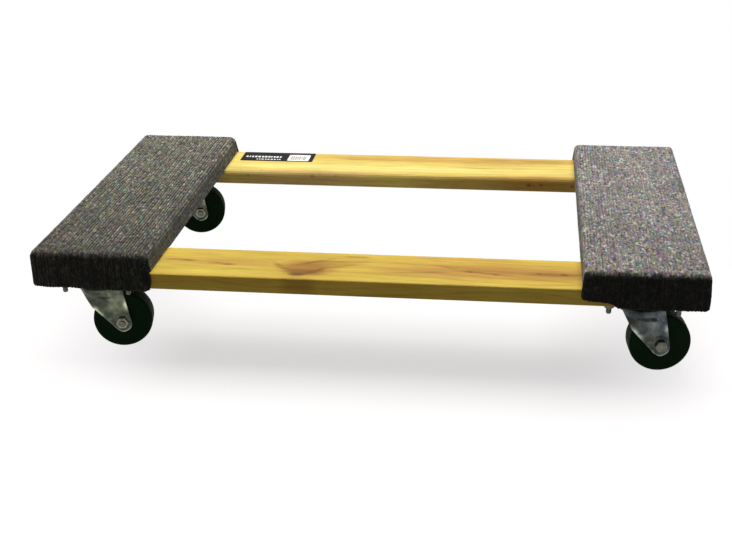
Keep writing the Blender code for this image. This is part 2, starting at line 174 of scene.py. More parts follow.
def carpet_material(name, tint):
    """Ribbed loop pile: salt-and-pepper yarns of several greys, with painted
    shade in the valleys between the ribs and on the end skirts and long sides."""
    g = Graph(name)
    v = g.mapping(g.coords(), (1.0, 0.55, 0.55))
    wob = g.noise(v, 260.0, 2.0)
    warped = g.vmath("ADD", v, g.vmath("SCALE", g.vmath("SUBTRACT", wob.outputs["Color"], (0.5, 0.5, 0.5))))
    for n in g.nt.nodes:
        if n.type == "VECT_MATH" and n.operation == "SCALE":
            n.inputs["Scale"].default_value = 0.0016
    cells = g.node("ShaderNodeTexVoronoi", {"feature": "F1"}, Vector=warped,
                   Scale=400.0, Randomness=1.0)
    sep = g.node("ShaderNodeSeparateColor", None, Color=cells.outputs["Color"])
    yarn = g.ramp(sep.outputs[0], [
        (0.00, (0.045, 0.042, 0.046)), (0.15, (0.265, 0.200, 0.150)),
        (0.28, (0.120, 0.170, 0.265)), (0.40, (0.280, 0.262, 0.235)),
        (0.53, (0.265, 0.125, 0.200)), (0.66, (0.135, 0.240, 0.105)),
        (0.79, (0.500, 0.480, 0.440)), (0.91, (0.340, 0.260, 0.130))], "CONSTANT")
    fine = g.node("ShaderNodeTexVoronoi", {"feature": "F1"}, Vector=v, Scale=900.0,
                  Randomness=1.0)
    fsep = g.node("ShaderNodeSeparateColor", None, Color=fine.outputs["Color"])
    color = g.mix(0.75, yarn, g.mix(1.0, yarn, g.value_ramp(fsep.outputs[1], [(0.0, 0.20), (1.0, 1.90)]), "MULTIPLY"))
    color = g.mix(0.18, color, g.node("ShaderNodeMix", {"data_type": "RGBA"}, _0=1.0, _6=(0, 0, 0, 1),
                                      _7=fine.outputs["Color"]).outputs[2])
    broad = g.noise(v, 26.0, 3.0)
    color = g.mix(1.0, color, g.value_ramp(broad.outputs["Fac"], [(0.30, 0.88), (0.70, 1.12)]), "MULTIPLY")
    color = g.mix(1.0, color, (*tint, 1), "MULTIPLY")
    pile = g.node("ShaderNodeAttribute", {"attribute_name": "pile"})
    tone_and_painted_shade = g.node("ShaderNodeAttribute", {"attribute_name": "tone_and_painted_shade"})
    # painted shade in the rib valleys and painted light on the rib crests, with random loop tone
    color = g.mix(1.0, color, g.value_ramp(pile.outputs["Fac"], [(0.0, 0.16), (0.35, 0.72), (0.7, 1.12), (1.0, 1.32)]), "MULTIPLY")
    # painted shade on the end skirts and long sides, with random tone
    color = g.mix(1.0, color, tone_and_painted_shade.outputs["Color"], "MULTIPLY")
    fuzz = g.noise(v, 900.0, 3.0, 0.6)
    tuft = g.bump(cells.outputs["Distance"], 0.7, 0.0010)
    normal = g.bump(fuzz.outputs["Fac"], 0.6, 0.0006, tuft)
    return g.finish(color, 0.96, 0.0, normal, Sheen_Weight=0.12, Sheen_Roughness=0.6,
                    Specular_IOR_Level=0.15)


def backing_material():
    """The carpet's woven latex backing, seen at its cut edges and inside."""
    g = Graph("carpet_backing")
    v = g.coords()
    weave = g.node("ShaderNodeTexChecker", None, Vector=v, Scale=900.0,
                   Color1=(0.05, 0.048, 0.045, 1), Color2=(0.09, 0.086, 0.08, 1))
    n = g.noise(v, 500.0, 3.0)
    color = g.mix(0.4, weave.outputs["Color"], g.ramp(n.outputs["Fac"], [(0.3, (0.03, 0.03, 0.03)), (0.7, (0.12, 0.115, 0.11))]))
    return g.finish(color, 0.92, 0.0, g.bump(n.outputs["Fac"], 0.5, 0.0005))


def wood_material(name, pale, warm, dark, seed, centre, pitch=0.0062, knots=(),
                  patches=(), streaks=(), dots=(), gain=(1.0, 1.0, 1.0), grain_gain=1.0):
    """Clear-finished wood cut from a log that runs along X: growth rings
    about centre (y, z), with figure that wanders along the board.  knots are
    (x, y, radius), patches (x, y, half length, half width, colour, amount),
    streaks (x from, x to, y at the first, y at the second, half width,
    amount), dots (x, y, z, radius, amount)."""
    g = Graph(name)
    v = g.coords()
    base = g.mapping(v, (1, 1, 1), (seed * 0.37, seed * 0.11, seed * 0.05))
    wander = g.noise(g.mapping(base, (3.2, 9.0, 9.0)), 1.0, 2.0, 0.5)
    ripple = g.noise(g.mapping(base, (9.0, 40.0, 40.0)), 1.0, 3.0, 0.55)
    fine = g.noise(g.mapping(base, (26.0, 150.0, 150.0)), 1.0, 3.0, 0.6)
    x, y, z = g.node("ShaderNodeSeparateXYZ", None, Vector=v).outputs
    w0 = g.math("SUBTRACT", wander.outputs["Fac"], 0.5)
    r0 = g.math("SUBTRACT", ripple.outputs["Fac"], 0.5)
    f0 = g.math("SUBTRACT", fine.outputs["Fac"], 0.5)
    push = None
    for kx, ky, kr in knots:
        dx = g.math("MULTIPLY", g.math("SUBTRACT", x, kx), 0.34)
        dy = g.math("SUBTRACT", y, ky)
        d2 = g.math("ADD", g.math("MULTIPLY", dx, dx), g.math("MULTIPLY", dy, dy))
        bell = g.math("DIVIDE", kr * kr, g.math("ADD", d2, kr * kr))
        push = bell if push is None else g.math("ADD", push, bell)
    yy = g.math("ADD", y, g.math("MULTIPLY", w0, 0.060))
    yy = g.math("ADD", yy, g.math("MULTIPLY", r0, 0.006))
    if push is not None:
        yy = g.math("ADD", yy, g.math("MULTIPLY", push, 0.020))
    cy, cz = centre
    ry = g.math("SUBTRACT", yy, cy)
    rz = g.math("SUBTRACT", z, cz)
    rad = g.math("SQRT", g.math("ADD", g.math("MULTIPLY", ry, ry), g.math("MULTIPLY", rz, rz)))
    saw = g.math("FRACT", g.math("DIVIDE", rad, pitch))
    late = g.value_ramp(saw, [(0.0, 0.0), (0.45, 0.12), (0.84, 0.80), (0.92, 1.0), (0.99, 0.0)])
    # some rings are strong and others all but vanish
    some = g.noise(g.mapping(base, (1.4, 16.0, 16.0)), 1.0, 2.0, 0.5)
    late = g.math("MULTIPLY", late, g.value_ramp(some.outputs["Fac"], [(0.36, 0.12), (0.62, 1.0)]))
    fibre = g.noise(g.mapping(base, (26.0, 820.0, 820.0)), 1.0, 3.0, 0.6)
    streak = g.noise(g.mapping(base, (2.0, 34.0, 34.0)), 1.0, 4.0, 0.62, 0.4)
    color = g.mix(g.value_ramp(streak.outputs["Fac"], [(0.36, 0.0), (0.66, 1.0)]), pale, warm)
    for px, py, hx, hy, tint, amount in patches:
        ex = g.math("DIVIDE", g.math("ADD", g.math("SUBTRACT", x, px), g.math("MULTIPLY", w0, 0.05)), hx)
        ey = g.math("DIVIDE", g.math("ADD", g.math("SUBTRACT", y, py), g.math("MULTIPLY", r0, 0.014)), hy)
        d = g.math("SQRT", g.math("ADD", g.math("MULTIPLY", ex, ex), g.math("MULTIPLY", ey, ey)))
        d = g.math("ADD", d, g.math("MULTIPLY", f0, 0.5))
        m = g.value_ramp(d, [(0.45, 1.0), (1.0, 0.0)])
        color = g.mix(g.math("MULTIPLY", m, amount), color, tint)
    color = g.mix(g.math("MULTIPLY", late, 0.42 * grain_gain), color, dark)
    color = g.mix(1.0, color, g.value_ramp(fibre.outputs["Fac"], [(0.28, 0.80), (0.72, 1.14)]), "MULTIPLY")
    blotch = g.noise(g.mapping(base, (7.0, 22.0, 22.0)), 1.0, 3.0, 0.6)
    color = g.mix(1.0, color, g.value_ramp(blotch.outputs["Fac"], [(0.32, 0.88), (0.68, 1.09)]), "MULTIPLY")
    for xa, xb, ya, yb, hw, amount in streaks:
        slope = (yb - ya) / (xb - xa)
        mid = g.math("MULTIPLY_ADD", x, slope, ya - slope * xa)
        off = g.math("ADD", g.math("SUBTRACT", y, mid), g.math("MULTIPLY", r0, 0.010))
        off = g.math("ADD", off, g.math("MULTIPLY", f0, 0.004))
        off = g.math("DIVIDE", g.math("ABSOLUTE", off), hw * 1.5)
        across = g.math("SUBTRACT", 1.0, off, clamp=True)
        across = g.math("MULTIPLY", across, g.math("SUBTRACT", 2.0, across))
        fade = min(0.02, (xb - xa) * 0.3)
        window = g.math("MULTIPLY",
                        g.math("DIVIDE", g.math("SUBTRACT", x, xa), fade, clamp=True),
                        g.math("DIVIDE", g.math("SUBTRACT", xb, x), fade, clamp=True))
        broken = g.value_ramp(fine.outputs["Fac"], [(0.34, 0.15), (0.62, 1.0)])
        m = g.math("MULTIPLY", g.math("MULTIPLY", across, window), broken)
        color = g.mix(g.math("MULTIPLY", m, amount), color, (dark[0] * 0.55, dark[1] * 0.45, dark[2] * 0.45, 1))
    if push is not None:
        heart = None
        for kx, ky, kr in knots:
            dx = g.math("MULTIPLY", g.math("SUBTRACT", x, kx), 0.5)
            dy = g.math("SUBTRACT", y, ky)
            d = g.math("SQRT", g.math("ADD", g.math("MULTIPLY", dx, dx), g.math("MULTIPLY", dy, dy)))
            rough_d = g.math("ADD", d, g.math("MULTIPLY", g.math("ADD", r0, f0), kr * 0.55))
            m = g.math("SUBTRACT", 1.0, g.math("DIVIDE", rough_d, kr), clamp=True)
            heart = m if heart is None else g.math("MAXIMUM", heart, m)
        halo = g.math("POWER", g.math("MINIMUM", push, 1.0), 1.5)
        color = g.mix(g.math("MULTIPLY", halo, 0.30), color, dark)
        color = g.mix(g.math("MULTIPLY", g.math("POWER", heart, 0.6), 0.85), color,
                      (dark[0] * 0.42, dark[1] * 0.34, dark[2] * 0.34, 1))
    pores = g.node("ShaderNodeTexVoronoi", {"feature": "F1"},
                   Vector=g.mapping(base, (60.0, 520.0, 520.0)), Scale=1.0)
    pits = g.value_ramp(pores.outputs["Distance"], [(0.0, 1.0), (0.16, 0.0)])
    color = g.mix(g.math("MULTIPLY", pits, 0.18), color, dark)
    for dx0, dy0, dz0, radius, amount in dots:
        away = g.vmath("MULTIPLY", g.vmath("SUBTRACT", v, (dx0, dy0, dz0)), (0.7, 1.0, 1.0))
        m = g.math("SUBTRACT", 1.35, g.math("DIVIDE", g.vmath("LENGTH", away), radius), clamp=True)
        m = g.math("MULTIPLY", m, g.value_ramp(fine.outputs["Fac"], [(0.25, 0.55), (0.6, 1.0)]))
        color = g.mix(g.math("MULTIPLY", m, amount), color, (dark[0] * 0.30, dark[1] * 0.24, dark[2] * 0.24, 1))
    color = g.mix(1.0, color, (*gain, 1), "MULTIPLY")
    rough = g.value_ramp(late, [(0.0, 0.50), (1.0, 0.38)])
    normal = g.bump(late, 0.25, 0.0002, g.bump(fibre.outputs["Fac"], 0.35, 0.00025))
    return g.finish(color, rough, 0.0, normal, Specular_IOR_Level=0.13,
                    Coat_Weight=0.02, Coat_Roughness=0.35)


def zinc_material(name, tone, rough, tint_a, tint_b, scale=55.0, scuff=0.5, mottle=0.5, painted_light=False):
    """Zinc plating: soft cloudy passivation tints, fine draw lines, scuffs;
    the forks take painted highlights and painted shade from their "tone" attribute."""
    g = Graph(name)
    v = g.coords()
    cloud = g.noise(v, scale, 3.0, 0.55, 0.6)
    patch = g.node("ShaderNodeTexVoronoi", {"feature": "SMOOTH_F1"}, Vector=v,
                   Scale=scale * 2.4, Smoothness=0.8)
    psep = g.node("ShaderNodeSeparateColor", None, Color=patch.outputs["Color"])
    color = g.mix(g.value_ramp(cloud.outputs["Fac"], [(0.35, 0.0), (0.65, 1.0)]), tint_a, tint_b)
    color = g.mix(g.math("MULTIPLY", psep.outputs[0], 0.35), color, tone)
    fine = g.noise(g.mapping(v, (1.0, 1.0, 6.0)), 420.0, 4.0, 0.65)
    wear = g.value_ramp(fine.outputs["Fac"], [(0.58, 0.0), (0.74, 1.0)])
    stain = g.noise(v, scale * 1.7, 4.0, 0.6, 0.4)
    color = g.mix(1.0, color, g.value_ramp(stain.outputs["Fac"], [(0.34, 1.0 - 0.55 * mottle), (0.66, 1.0 + 0.30 * mottle)]), "MULTIPLY")
    # painted highlights and painted shade of the fork, from its tone attribute
    if painted_light:
        tone = g.node("ShaderNodeAttribute", {"attribute_name": "tone"}).outputs["Color"]
        color = g.mix(1.0, color, tone, "MULTIPLY")
    color = g.mix(g.math("MULTIPLY", wear, 0.25 * scuff), color, (0.75, 0.75, 0.72, 1))
    r = g.math("ADD", rough, g.math("MULTIPLY", g.math("SUBTRACT", cloud.outputs["Fac"], 0.5), 0.22))
    r = g.math("ADD", r, g.math("MULTIPLY", wear, 0.12 * scuff), clamp=True)
    normal = g.bump(fine.outputs["Fac"], 0.12 * scuff, 0.0003,
                    g.bump(cloud.outputs["Fac"], 0.10, 0.0012))
    return g.finish(color, r, 1.0, normal)


def rubber_material():
    """Hard moulded rubber: near-black green, faint mould grain and dust."""
    g = Graph("dark_rubber")
    v = g.coords()
    mott = g.noise(v, 140.0, 4.0, 0.6)
    dust = g.noise(v, 36.0, 5.0, 0.65, 0.3)
    grain = g.noise(v, 2200.0, 2.0, 0.5)
    color = g.ramp(mott.outputs["Fac"], [(0.3, (0.0060, 0.0185, 0.0052)), (0.7, (0.0085, 0.0260, 0.0080))])
    color = g.mix(g.math("MULTIPLY", g.value_ramp(dust.outputs["Fac"], [(0.55, 0.0), (0.80, 1.0)]), 0.08),
                  color, (0.035, 0.040, 0.030, 1))
    rough = g.value_ramp(dust.outputs["Fac"], [(0.3, 0.46), (0.8, 0.72)])
    normal = g.bump(grain.outputs["Fac"], 0.25, 0.00012)
    return g.finish(color, rough, 0.0, normal, Specular_IOR_Level=0.05)


def steel_material(name, base, rough):
    g = Graph(name)
    v = g.coords()
    n = g.noise(v, 300.0, 3.0, 0.6)
    color = g.mix(n.outputs["Fac"], (base[0] * 0.8, base[1] * 0.8, base[2] * 0.8, 1), (*base, 1))
    r = g.math("ADD", rough, g.math("MULTIPLY", n.outputs["Fac"], 0.15))
    return g.finish(color, r, 1.0, g.bump(n.outputs["Fac"], 0.08, 0.0002))


def print_material(name, base, spot, rough):
    """Printed film: flat ink with faint speckle and a slight orange peel."""
    g = Graph(name)
    v = g.coords()
    n = g.noise(v, 700.0, 3.0, 0.6)
    m = g.noise(v, 60.0, 2.0)
    color = g.mix(g.value_ramp(n.outputs["Fac"], [(0.45, 0.0), (0.75, 0.35)]), base, spot)
    color = g.mix(1.0, color, g.value_ramp(m.outputs["Fac"], [(0.3, 0.92), (0.7, 1.05)]), "MULTIPLY")
    return g.finish(color, rough, 0.0, g.bump(m.outputs["Fac"], 0.15, 0.0004), Specular_IOR_Level=0.15)


CARPET = {"left": carpet_material("carpet_pile_left", (0.93, 0.95, 0.84)),
          "right": carpet_material("carpet_pile_right", (0.90, 0.90, 0.95))}
BACKING = backing_material()
TAN, BROWN, YELLOW = lin(205, 152, 84), lin(178, 124, 58), lin(243, 216, 104)
DEEP = lin(120, 74, 26)
WOOD_FRONT = wood_material(
    "wood_front_rail", lin(236, 206, 98), lin(222, 182, 80), lin(142, 88, 28), 1.0,
    (-0.150, 0.030), 0.0072,
    knots=((-0.0743, -0.2112, 0.0062), (0.1206, -0.1871, 0.0018), (0.1500, -0.1930, 0.0014),
           (0.1977, -0.1858, 0.0020), (0.2255, -0.1861, 0.0030)),
    patches=((0.150, -0.186, 0.190, 0.026, TAN, 0.80), (-0.072, -0.192, 0.042, 0.022, BROWN, 0.90),
             (-0.074, -0.204, 0.028, 0.012, DEEP, 0.55), (-0.050, -0.178, 0.046, 0.013, BROWN, 0.60),
             (-0.160, -0.182, 0.100, 0.012, TAN, 0.50), (0.140, -0.186, 0.060, 0.008, BROWN, 0.45),
             (0.220, -0.186, 0.045, 0.008, BROWN, 0.50), (0.110, -0.153, 0.090, 0.006, TAN, 0.60),
             (-0.18, -0.213, 0.090, 0.011, YELLOW, 0.80), (0.020, -0.215, 0.080, 0.009, YELLOW, 0.60),
             (0.00, -0.149, 0.180, 0.008, YELLOW, 0.30), (-0.078, -0.2245, 0.026, 0.0060, DEEP, 0.36)),
    streaks=((-0.238, -0.192, -0.1796, -0.1808, 0.0026, 0.85), (-0.188, -0.146, -0.1838, -0.1888, 0.0024, 0.75),
             (-0.110, -0.074, -0.1765, -0.2120, 0.0042, 0.60), (-0.074, -0.040, -0.2120, -0.1905, 0.0034, 0.75),
             (-0.042, -0.006, -0.1905, -0.1790, 0.0022, 0.40), (-0.080, -0.028, -0.1870, -0.1555, 0.0032, 0.60),
             (-0.030, 0.006, -0.1575, -0.1560, 0.0026, 0.75), (-0.060, 0.020, -0.1720, -0.1690, 0.0018, 0.45),
             (0.080, 0.128, -0.1720, -0.1885, 0.0022, 0.45), (0.112, 0.180, -0.1860, -0.1945, 0.0020, 0.50),
             (0.125, 0.175, -0.1945, -0.1930, 0.0018, 0.45), (0.185, 0.246, -0.1850, -0.1870, 0.0020, 0.50),
             (0.060, 0.246, -0.1600, -0.1640, 0.0014, 0.35), (0.020, 0.110, -0.1980, -0.1900, 0.0016, 0.35),
             (0.150, 0.246, -0.2030, -0.2060, 0.0014, 0.35), (-0.230, -0.120, -0.1950, -0.2010, 0.0014, 0.30)),
    gain=(0.82, 0.825, 0.66))
WOOD_REAR = wood_material(
    "wood_rear_rail", lin(244, 222, 136), lin(232, 202, 110), lin(164, 116, 50), 5.0,
    (0.250, -0.060), 0.0052,
    patches=((0.060, 0.209, 0.300, 0.020, lin(216, 172, 92), 0.80), (-0.12, 0.1440, 0.130, 0.006, lin(226, 190, 132), 0.70),
             (0.20, 0.1405, 0.080, 0.008, BROWN, 0.62), (-0.05, 0.165, 0.320, 0.015, lin(252, 236, 156), 0.85),
             (0.14, 0.1405, 0.150, 0.0035, BROWN, 0.45), (-0.13, 0.1400, 0.130, 0.0050, lin(228, 192, 140), 0.50)),
    streaks=((-0.090, 0.240, 0.2020, 0.2040, 0.0014, 0.45), (-0.040, 0.240, 0.2085, 0.2100, 0.0012, 0.45),
             (0.010, 0.240, 0.2150, 0.2140, 0.0014, 0.50), (0.040, 0.200, 0.1965, 0.1975, 0.0012, 0.40),
             (-0.220, -0.080, 0.1640, 0.1610, 0.0010, 0.30), (0.060, 0.240, 0.1780, 0.1760, 0.0010, 0.35)),
    dots=((0.1836, 0.1415, 0.1005, 0.0026, 0.75), (0.2001, 0.1415, 0.1010, 0.0018, 0.95),
          (0.2420, 0.1415, 0.1002, 0.0024, 0.80), (0.1900, 0.1415, 0.1002, 0.0016, 0.60),
          (-0.1899, 0.1460, 0.1085, 0.0022, 0.50), (-0.1479, 0.1430, 0.1060, 0.0016, 0.55),
          (-0.1164, 0.1420, 0.1050, 0.0024, 0.50), (-0.1060, 0.1430, 0.1075, 0.0014, 0.55),
          (-0.0837, 0.1425, 0.1055, 0.0018, 0.50), (-0.2080, 0.1420, 0.1040, 0.0020, 0.55)),
    gain=(0.92, 0.93, 0.78), grain_gain=0.7)
WOOD_LEFT = wood_material("wood_left_board", lin(214, 182, 108), lin(198, 160, 88),
                          lin(150, 104, 48), 9.0, (0.0, 0.02), 0.0060, gain=(0.8, 0.8, 0.7))
WOOD_RIGHT = wood_material("wood_right_board", lin(214, 182, 108), lin(198, 160, 88),
                           lin(150, 104, 48), 13.0, (0.0, 0.03), 0.0058, gain=(0.8, 0.8, 0.7))
ZINC_GREEN = zinc_material("zinc_pressed_olive", (0.155, 0.160, 0.110, 1), 0.27,
                           (0.195, 0.215, 0.140, 1), (0.125, 0.150, 0.130, 1), 62.0, 0.3, 1.0, True)
ZINC_BLUE = zinc_material("zinc_pressed_blue", (0.110, 0.120, 0.110, 1), 0.27,
                          (0.145, 0.150, 0.120, 1), (0.082, 0.110, 0.150, 1), 62.0, 0.3, 1.0, True)
ZINC_PLATE = zinc_material("zinc_plate", (0.20, 0.21, 0.19, 1), 0.32,
                           (0.23, 0.24, 0.20, 1), (0.18, 0.20, 0.22, 1), 40.0)
ZINC_BOLT = zinc_material("zinc_bolt", (0.17, 0.16, 0.12, 1), 0.28,
                          (0.20, 0.19, 0.15, 1), (0.14, 0.15, 0.15, 1), 160.0, 0.5)
ZINC_NUT = zinc_material("zinc_nut_yellow", (0.30, 0.28, 0.19, 1), 0.22,
                         (0.36, 0.34, 0.24, 1), (0.26, 0.27, 0.22, 1), 160.0, 0.4)
RUBBER = rubber_material()
STEEL = steel_material("bearing_steel", (0.60, 0.60, 0.61), 0.12)
SLEEVE = steel_material("sleeve_steel", (0.42, 0.40, 0.37), 0.34)
STICKER = print_material("sticker_dark", (0.0060, 0.0055, 0.0085, 1), (0.020, 0.018, 0.026, 1), 0.60)
STICKER_PALE = print_material("sticker_pale", (0.93, 0.93, 0.89, 1), (0.84, 0.84, 0.80, 1), 0.55)
STICKER_INK = print_material("sticker_ink", (0.05, 0.05, 0.055, 1), (0.10, 0.10, 0.10, 1), 0.5)


# ============================================================ mesh utilities
def link(name, mesh, *mats):
    ob = bpy.data.objects.new(name, mesh)
    bpy.context.scene.collection.objects.link(ob)
    if not mesh.materials:
        for m in mats:
            mesh.materials.append(m)
    return ob


def shade(mesh, angle=38.0):
    mesh.shade_smooth()
    mesh.set_sharp_from_angle(angle=math.radians(angle))
    return mesh


def evaluated(ob):
    bpy.context.view_layer.update()
    graph = bpy.context.evaluated_depsgraph_get()
    mesh = bpy.data.meshes.new_from_object(ob.evaluated_get(graph))
    bpy.data.objects.remove(ob, do_unlink=True)
    return mesh


def turned(name, profile, steps=64, ring=False):
    """A closed turned solid; the profile runs down its outer side."""
    bm = bmesh.new()
    loops = []
    for r, z in profile:
        if r < 1e-7:
            loops.append([bm.verts.new((0, 0, z))])
        else:
            loops.append([bm.verts.new((r * math.cos(math.tau * j / steps),
                                        r * math.sin(math.tau * j / steps), z))
                          for j in range(steps)])
    pairs = list(zip(loops, loops[1:]))
    if ring:
        pairs.append((loops[-1], loops[0]))
    for a, b in pairs:
        for j in range(steps):
            k = (j + 1) % steps
            if len(a) == 1:
                bm.faces.new((a[0], b[j], b[k]))
            elif len(b) == 1:
                bm.faces.new((a[j], b[0], a[k]))
            else:
                bm.faces.new((a[j], b[j], b[k], a[k]))
    mesh = bpy.data.meshes.new(name)
    bm.to_mesh(mesh)
    bm.free()
    return mesh


def rounded(points, radius, n=3):
    """Rounds the corners of an open or closed polyline of (r, z)."""
    out = []
    for i, p in enumerate(points):
        rad = radius[i] if isinstance(radius, (list, tuple)) else radius
        if rad <= 0:
            out.append(p)
            continue
        a = Vector(points[i - 1])
        b = Vector(p)
        c = Vector(points[(i + 1) % len(points)])
        u, w = (a - b), (c - b)
        if u.length < 1e-9 or w.length < 1e-9:
            out.append(p)
            continue
        d = min(rad, u.length * 0.45, w.length * 0.45)
        s, e = b + u.normalized() * d, b + w.normalized() * d
        for k in range(n + 1):
            t = k / n
            q = s * (1 - t) ** 2 + b * 2 * t * (1 - t) + e * t ** 2
            out.append((q.x, q.y))
    return out


def hexagon(name, r, z0, z1, hole=0.0, chamfer=0.0008):
    """A hexagon nut or bolt head with its turned corner chamfers, made as the
    common part of a hexagon prism and a turned blank."""
    n = 48
    bm = bmesh.new()
    zs = [z0, z0 + chamfer, z1 - chamfer, z1]
    flat = r * math.cos(math.pi / 6)
    outer = []
    for i, z in enumerate(zs):
        loop = []
        for j in range(n):
            a = math.tau * j / n
            k = a % (math.pi / 3) - math.pi / 6
            rr = min(flat / math.cos(k), r if i in (1, 2) else flat)
            loop.append(bm.verts.new((rr * math.cos(a), rr * math.sin(a), z)))
        outer.append(loop)
    for a, b in zip(outer, outer[1:]):
        for j in range(n):
            k = (j + 1) % n
            bm.faces.new((a[k], b[k], b[j], a[j])[::-1])
    if hole > 0:
        inner = [[bm.verts.new((hole * math.cos(math.tau * j / n), hole * math.sin(math.tau * j / n), z))
                  for j in range(n)] for z in (z0, z1)]
        for j in range(n):
            k = (j + 1) % n
            bm.faces.new((inner[0][j], inner[0][k], inner[1][k], inner[1][j])[::-1])
            bm.faces.new((outer[0][j], outer[0][k], inner[0][k], inner[0][j])[::-1])
            bm.faces.new((outer[-1][j], outer[-1][k], inner[1][k], inner[1][j]))
    else:
        bm.faces.new(outer[0][::-1])
        bm.faces.new(outer[-1])
    bmesh.ops.recalc_face_normals(bm, faces=bm.faces)
    mesh = bpy.data.meshes.new(name)
    bm.to_mesh(mesh)
    bm.free()
    return mesh


def joined(name, meshes):
    """Several meshes in one, with no change to their points."""
    bm = bmesh.new()
    for m in meshes:
        bm.from_mesh(m)
    mesh = bpy.data.meshes.new(name)
    bm.to_mesh(mesh)
    bm.free()
    return mesh


def sphere(r, centre, u=24, v=14):
    bm = bmesh.new()
    bmesh.ops.create_uvsphere(bm, u_segments=u, v_segments=v, radius=r)
    bmesh.ops.translate(bm, vec=centre, verts=bm.verts)
    mesh = bpy.data.meshes.new("ball")
    bm.to_mesh(mesh)
    bm.free()
    return mesh


# ================================================================= placement
RECORD = frame["record"]
NODE_BODY = {n: b for b, ns in RECORD["behaviour"]["bodies"].items() for n in ns}


def stand_for(ob, node):
    """The piece takes a CAD node's place and body, and the node is hidden."""
    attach(ob, NODE_BODY[node])
    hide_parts(node)
    return ob


# =================================================================== carpets
OUT_T = 0.0033                  # laid thickness of pile and backing together
R_TOP, R_LOW, R_END = 0.0060, 0.0039, 0.0075
CX_IN, CX_OUT = 0.2464, 0.3810
CZ_TOP, CZ_TUCK = 0.1339, 0.1073
CY = 0.2285
RIB = 0.00358                   # ribs lie in pairs, one a little higher


def smooth_noise(shape, cells, rng):
    """Bilinear-smooth random field of the given grid shape, -1..1."""
    n, m = cells
    a = rng.uniform(-1, 1, (n + 2, m + 2))
    u = np.linspace(0, n, shape[0])
    v = np.linspace(0, m, shape[1])
    i, j = np.floor(u).astype(int), np.floor(v).astype(int)
    fu, fv = u - i, v - j
    fu, fv = fu * fu * (3 - 2 * fu), fv * fv * (3 - 2 * fv)
    fu, fv = fu[:, None], fv[None, :]
    g = lambda di, dj: a[np.ix_(i + di, j + dj)]
    return (g(0, 0) * (1 - fu) * (1 - fv) + g(1, 0) * fu * (1 - fv)
            + g(0, 1) * (1 - fu) * fv + g(1, 1) * fu * fv)


def across_profile():
    """Across the board: (x, z, drop, nx, nz, zone, arc length) from the tuck
    on the inner side, over the top, to the tuck on the outer side."""
    pts = []

    def run(n, f, zone):
        for k in range(n):
            pts.append((*f(k / n), zone))

    xi, xo = CX_IN, CX_OUT
    low_z = CZ_TUCK + R_LOW
    side_top = CZ_TOP - R_TOP
    run(13, lambda t: (xi + 0.0205 + R_LOW - (0.0205) * t - 0.0, CZ_TUCK, 0.0, -1.0), "tuck")
    run(5, lambda t: (xi + R_LOW - R_LOW * math.sin(t * math.pi / 2), low_z - R_LOW * math.cos(t * math.pi / 2),
                      -math.sin(t * math.pi / 2), -math.cos(t * math.pi / 2)), "low")
    run(14, lambda t: (xi, low_z + (side_top - low_z) * t, -1.0, 0.0), "side")
    run(8, lambda t: (xi + R_TOP - R_TOP * math.cos(t * math.pi / 2), side_top + R_TOP * math.sin(t * math.pi / 2),
                      -math.cos(t * math.pi / 2), math.sin(t * math.pi / 2)), "top")
    run(171, lambda t: (xi + R_TOP + (xo - xi - 2 * R_TOP) * t, CZ_TOP, 0.0, 1.0), "top")
    run(8, lambda t: (xo - R_TOP + R_TOP * math.sin(t * math.pi / 2), side_top + R_TOP * math.cos(t * math.pi / 2),
                      math.sin(t * math.pi / 2), math.cos(t * math.pi / 2)), "top")
    run(14, lambda t: (xo, side_top - (side_top - low_z) * t, 1.0, 0.0), "side")
    run(5, lambda t: (xo - R_LOW + R_LOW * math.cos(t * math.pi / 2), low_z - R_LOW * math.sin(t * math.pi / 2),
                      math.cos(t * math.pi / 2), -math.sin(t * math.pi / 2)), "low")
    run(13, lambda t: (xo - R_LOW - 0.0205 * t, CZ_TUCK, 0.0, -1.0), "tuck")
    pts.append((xo - R_LOW - 0.0205, CZ_TUCK, 0.0, -1.0, "tuck"))
    x = np.array([p[0] for p in pts])
    z = np.array([p[1] for p in pts])
    nx = np.array([p[2] for p in pts])
    nz = np.array([p[3] for p in pts])
    zone = [p[4] for p in pts]
    # a point that begins a zone also ends the one before it
    arc = np.concatenate([[0], np.cumsum(np.hypot(np.diff(x), np.diff(z)))])
    return x, z, nx, nz, zone, arc


def along_profile():
    """Along the board: (y, z, ny, nz, skirt share) from the front hem, over
    the top, to the rear hem."""
    pts = []
    z_end = CZ_TOP - R_END
    for k in range(18):
        pts.append((-CY, None, -1.0, 0.0, 1.0 - k / 18))
    for k in range(8):
        a = k / 8 * math.pi / 2
        pts.append((-CY + R_END - R_END * math.cos(a), z_end + R_END * math.sin(a),
                    -math.cos(a), math.sin(a), 0.0))
    n = 126
    for k in range(n):
        pts.append((-CY + R_END + (2 * CY - 2 * R_END) * k / n, CZ_TOP, 0.0, 1.0, 0.0))
    for k in range(8):
        a = k / 8 * math.pi / 2
        pts.append((CY - R_END + R_END * math.sin(a), z_end + R_END * math.cos(a),
                    math.sin(a), math.cos(a), 0.0))
    for k in range(19):
        pts.append((CY, None, 1.0, 0.0, k / 18))
    return pts


# hem heights along each skirt, from the inner to the outer long side (mm)
HEMS = {
    ("left", -1): ([0, 3, 22, 63, 87, 97, 100], [89.5, 88.0, 88.2, 89.6, 89.2, 90.2, 91.8]),
    ("right", -1): ([0, 4, 22, 27, 45, 66, 72, 96, 100], [98.4, 97.6, 95.6, 90.6, 89.8, 89.2, 90.2, 90.2, 91.6]),
    ("left", 1): ([0, 5, 40, 75, 96, 100], [93.0, 91.6, 91.0, 92.2, 91.8, 94.0]),
    ("right", 1): ([0, 5, 30, 70, 96, 100], [94.0, 92.8, 91.4, 91.9, 92.6, 94.6]),
}


LEAN = {"left": 0.0058, "right": 0.0016}


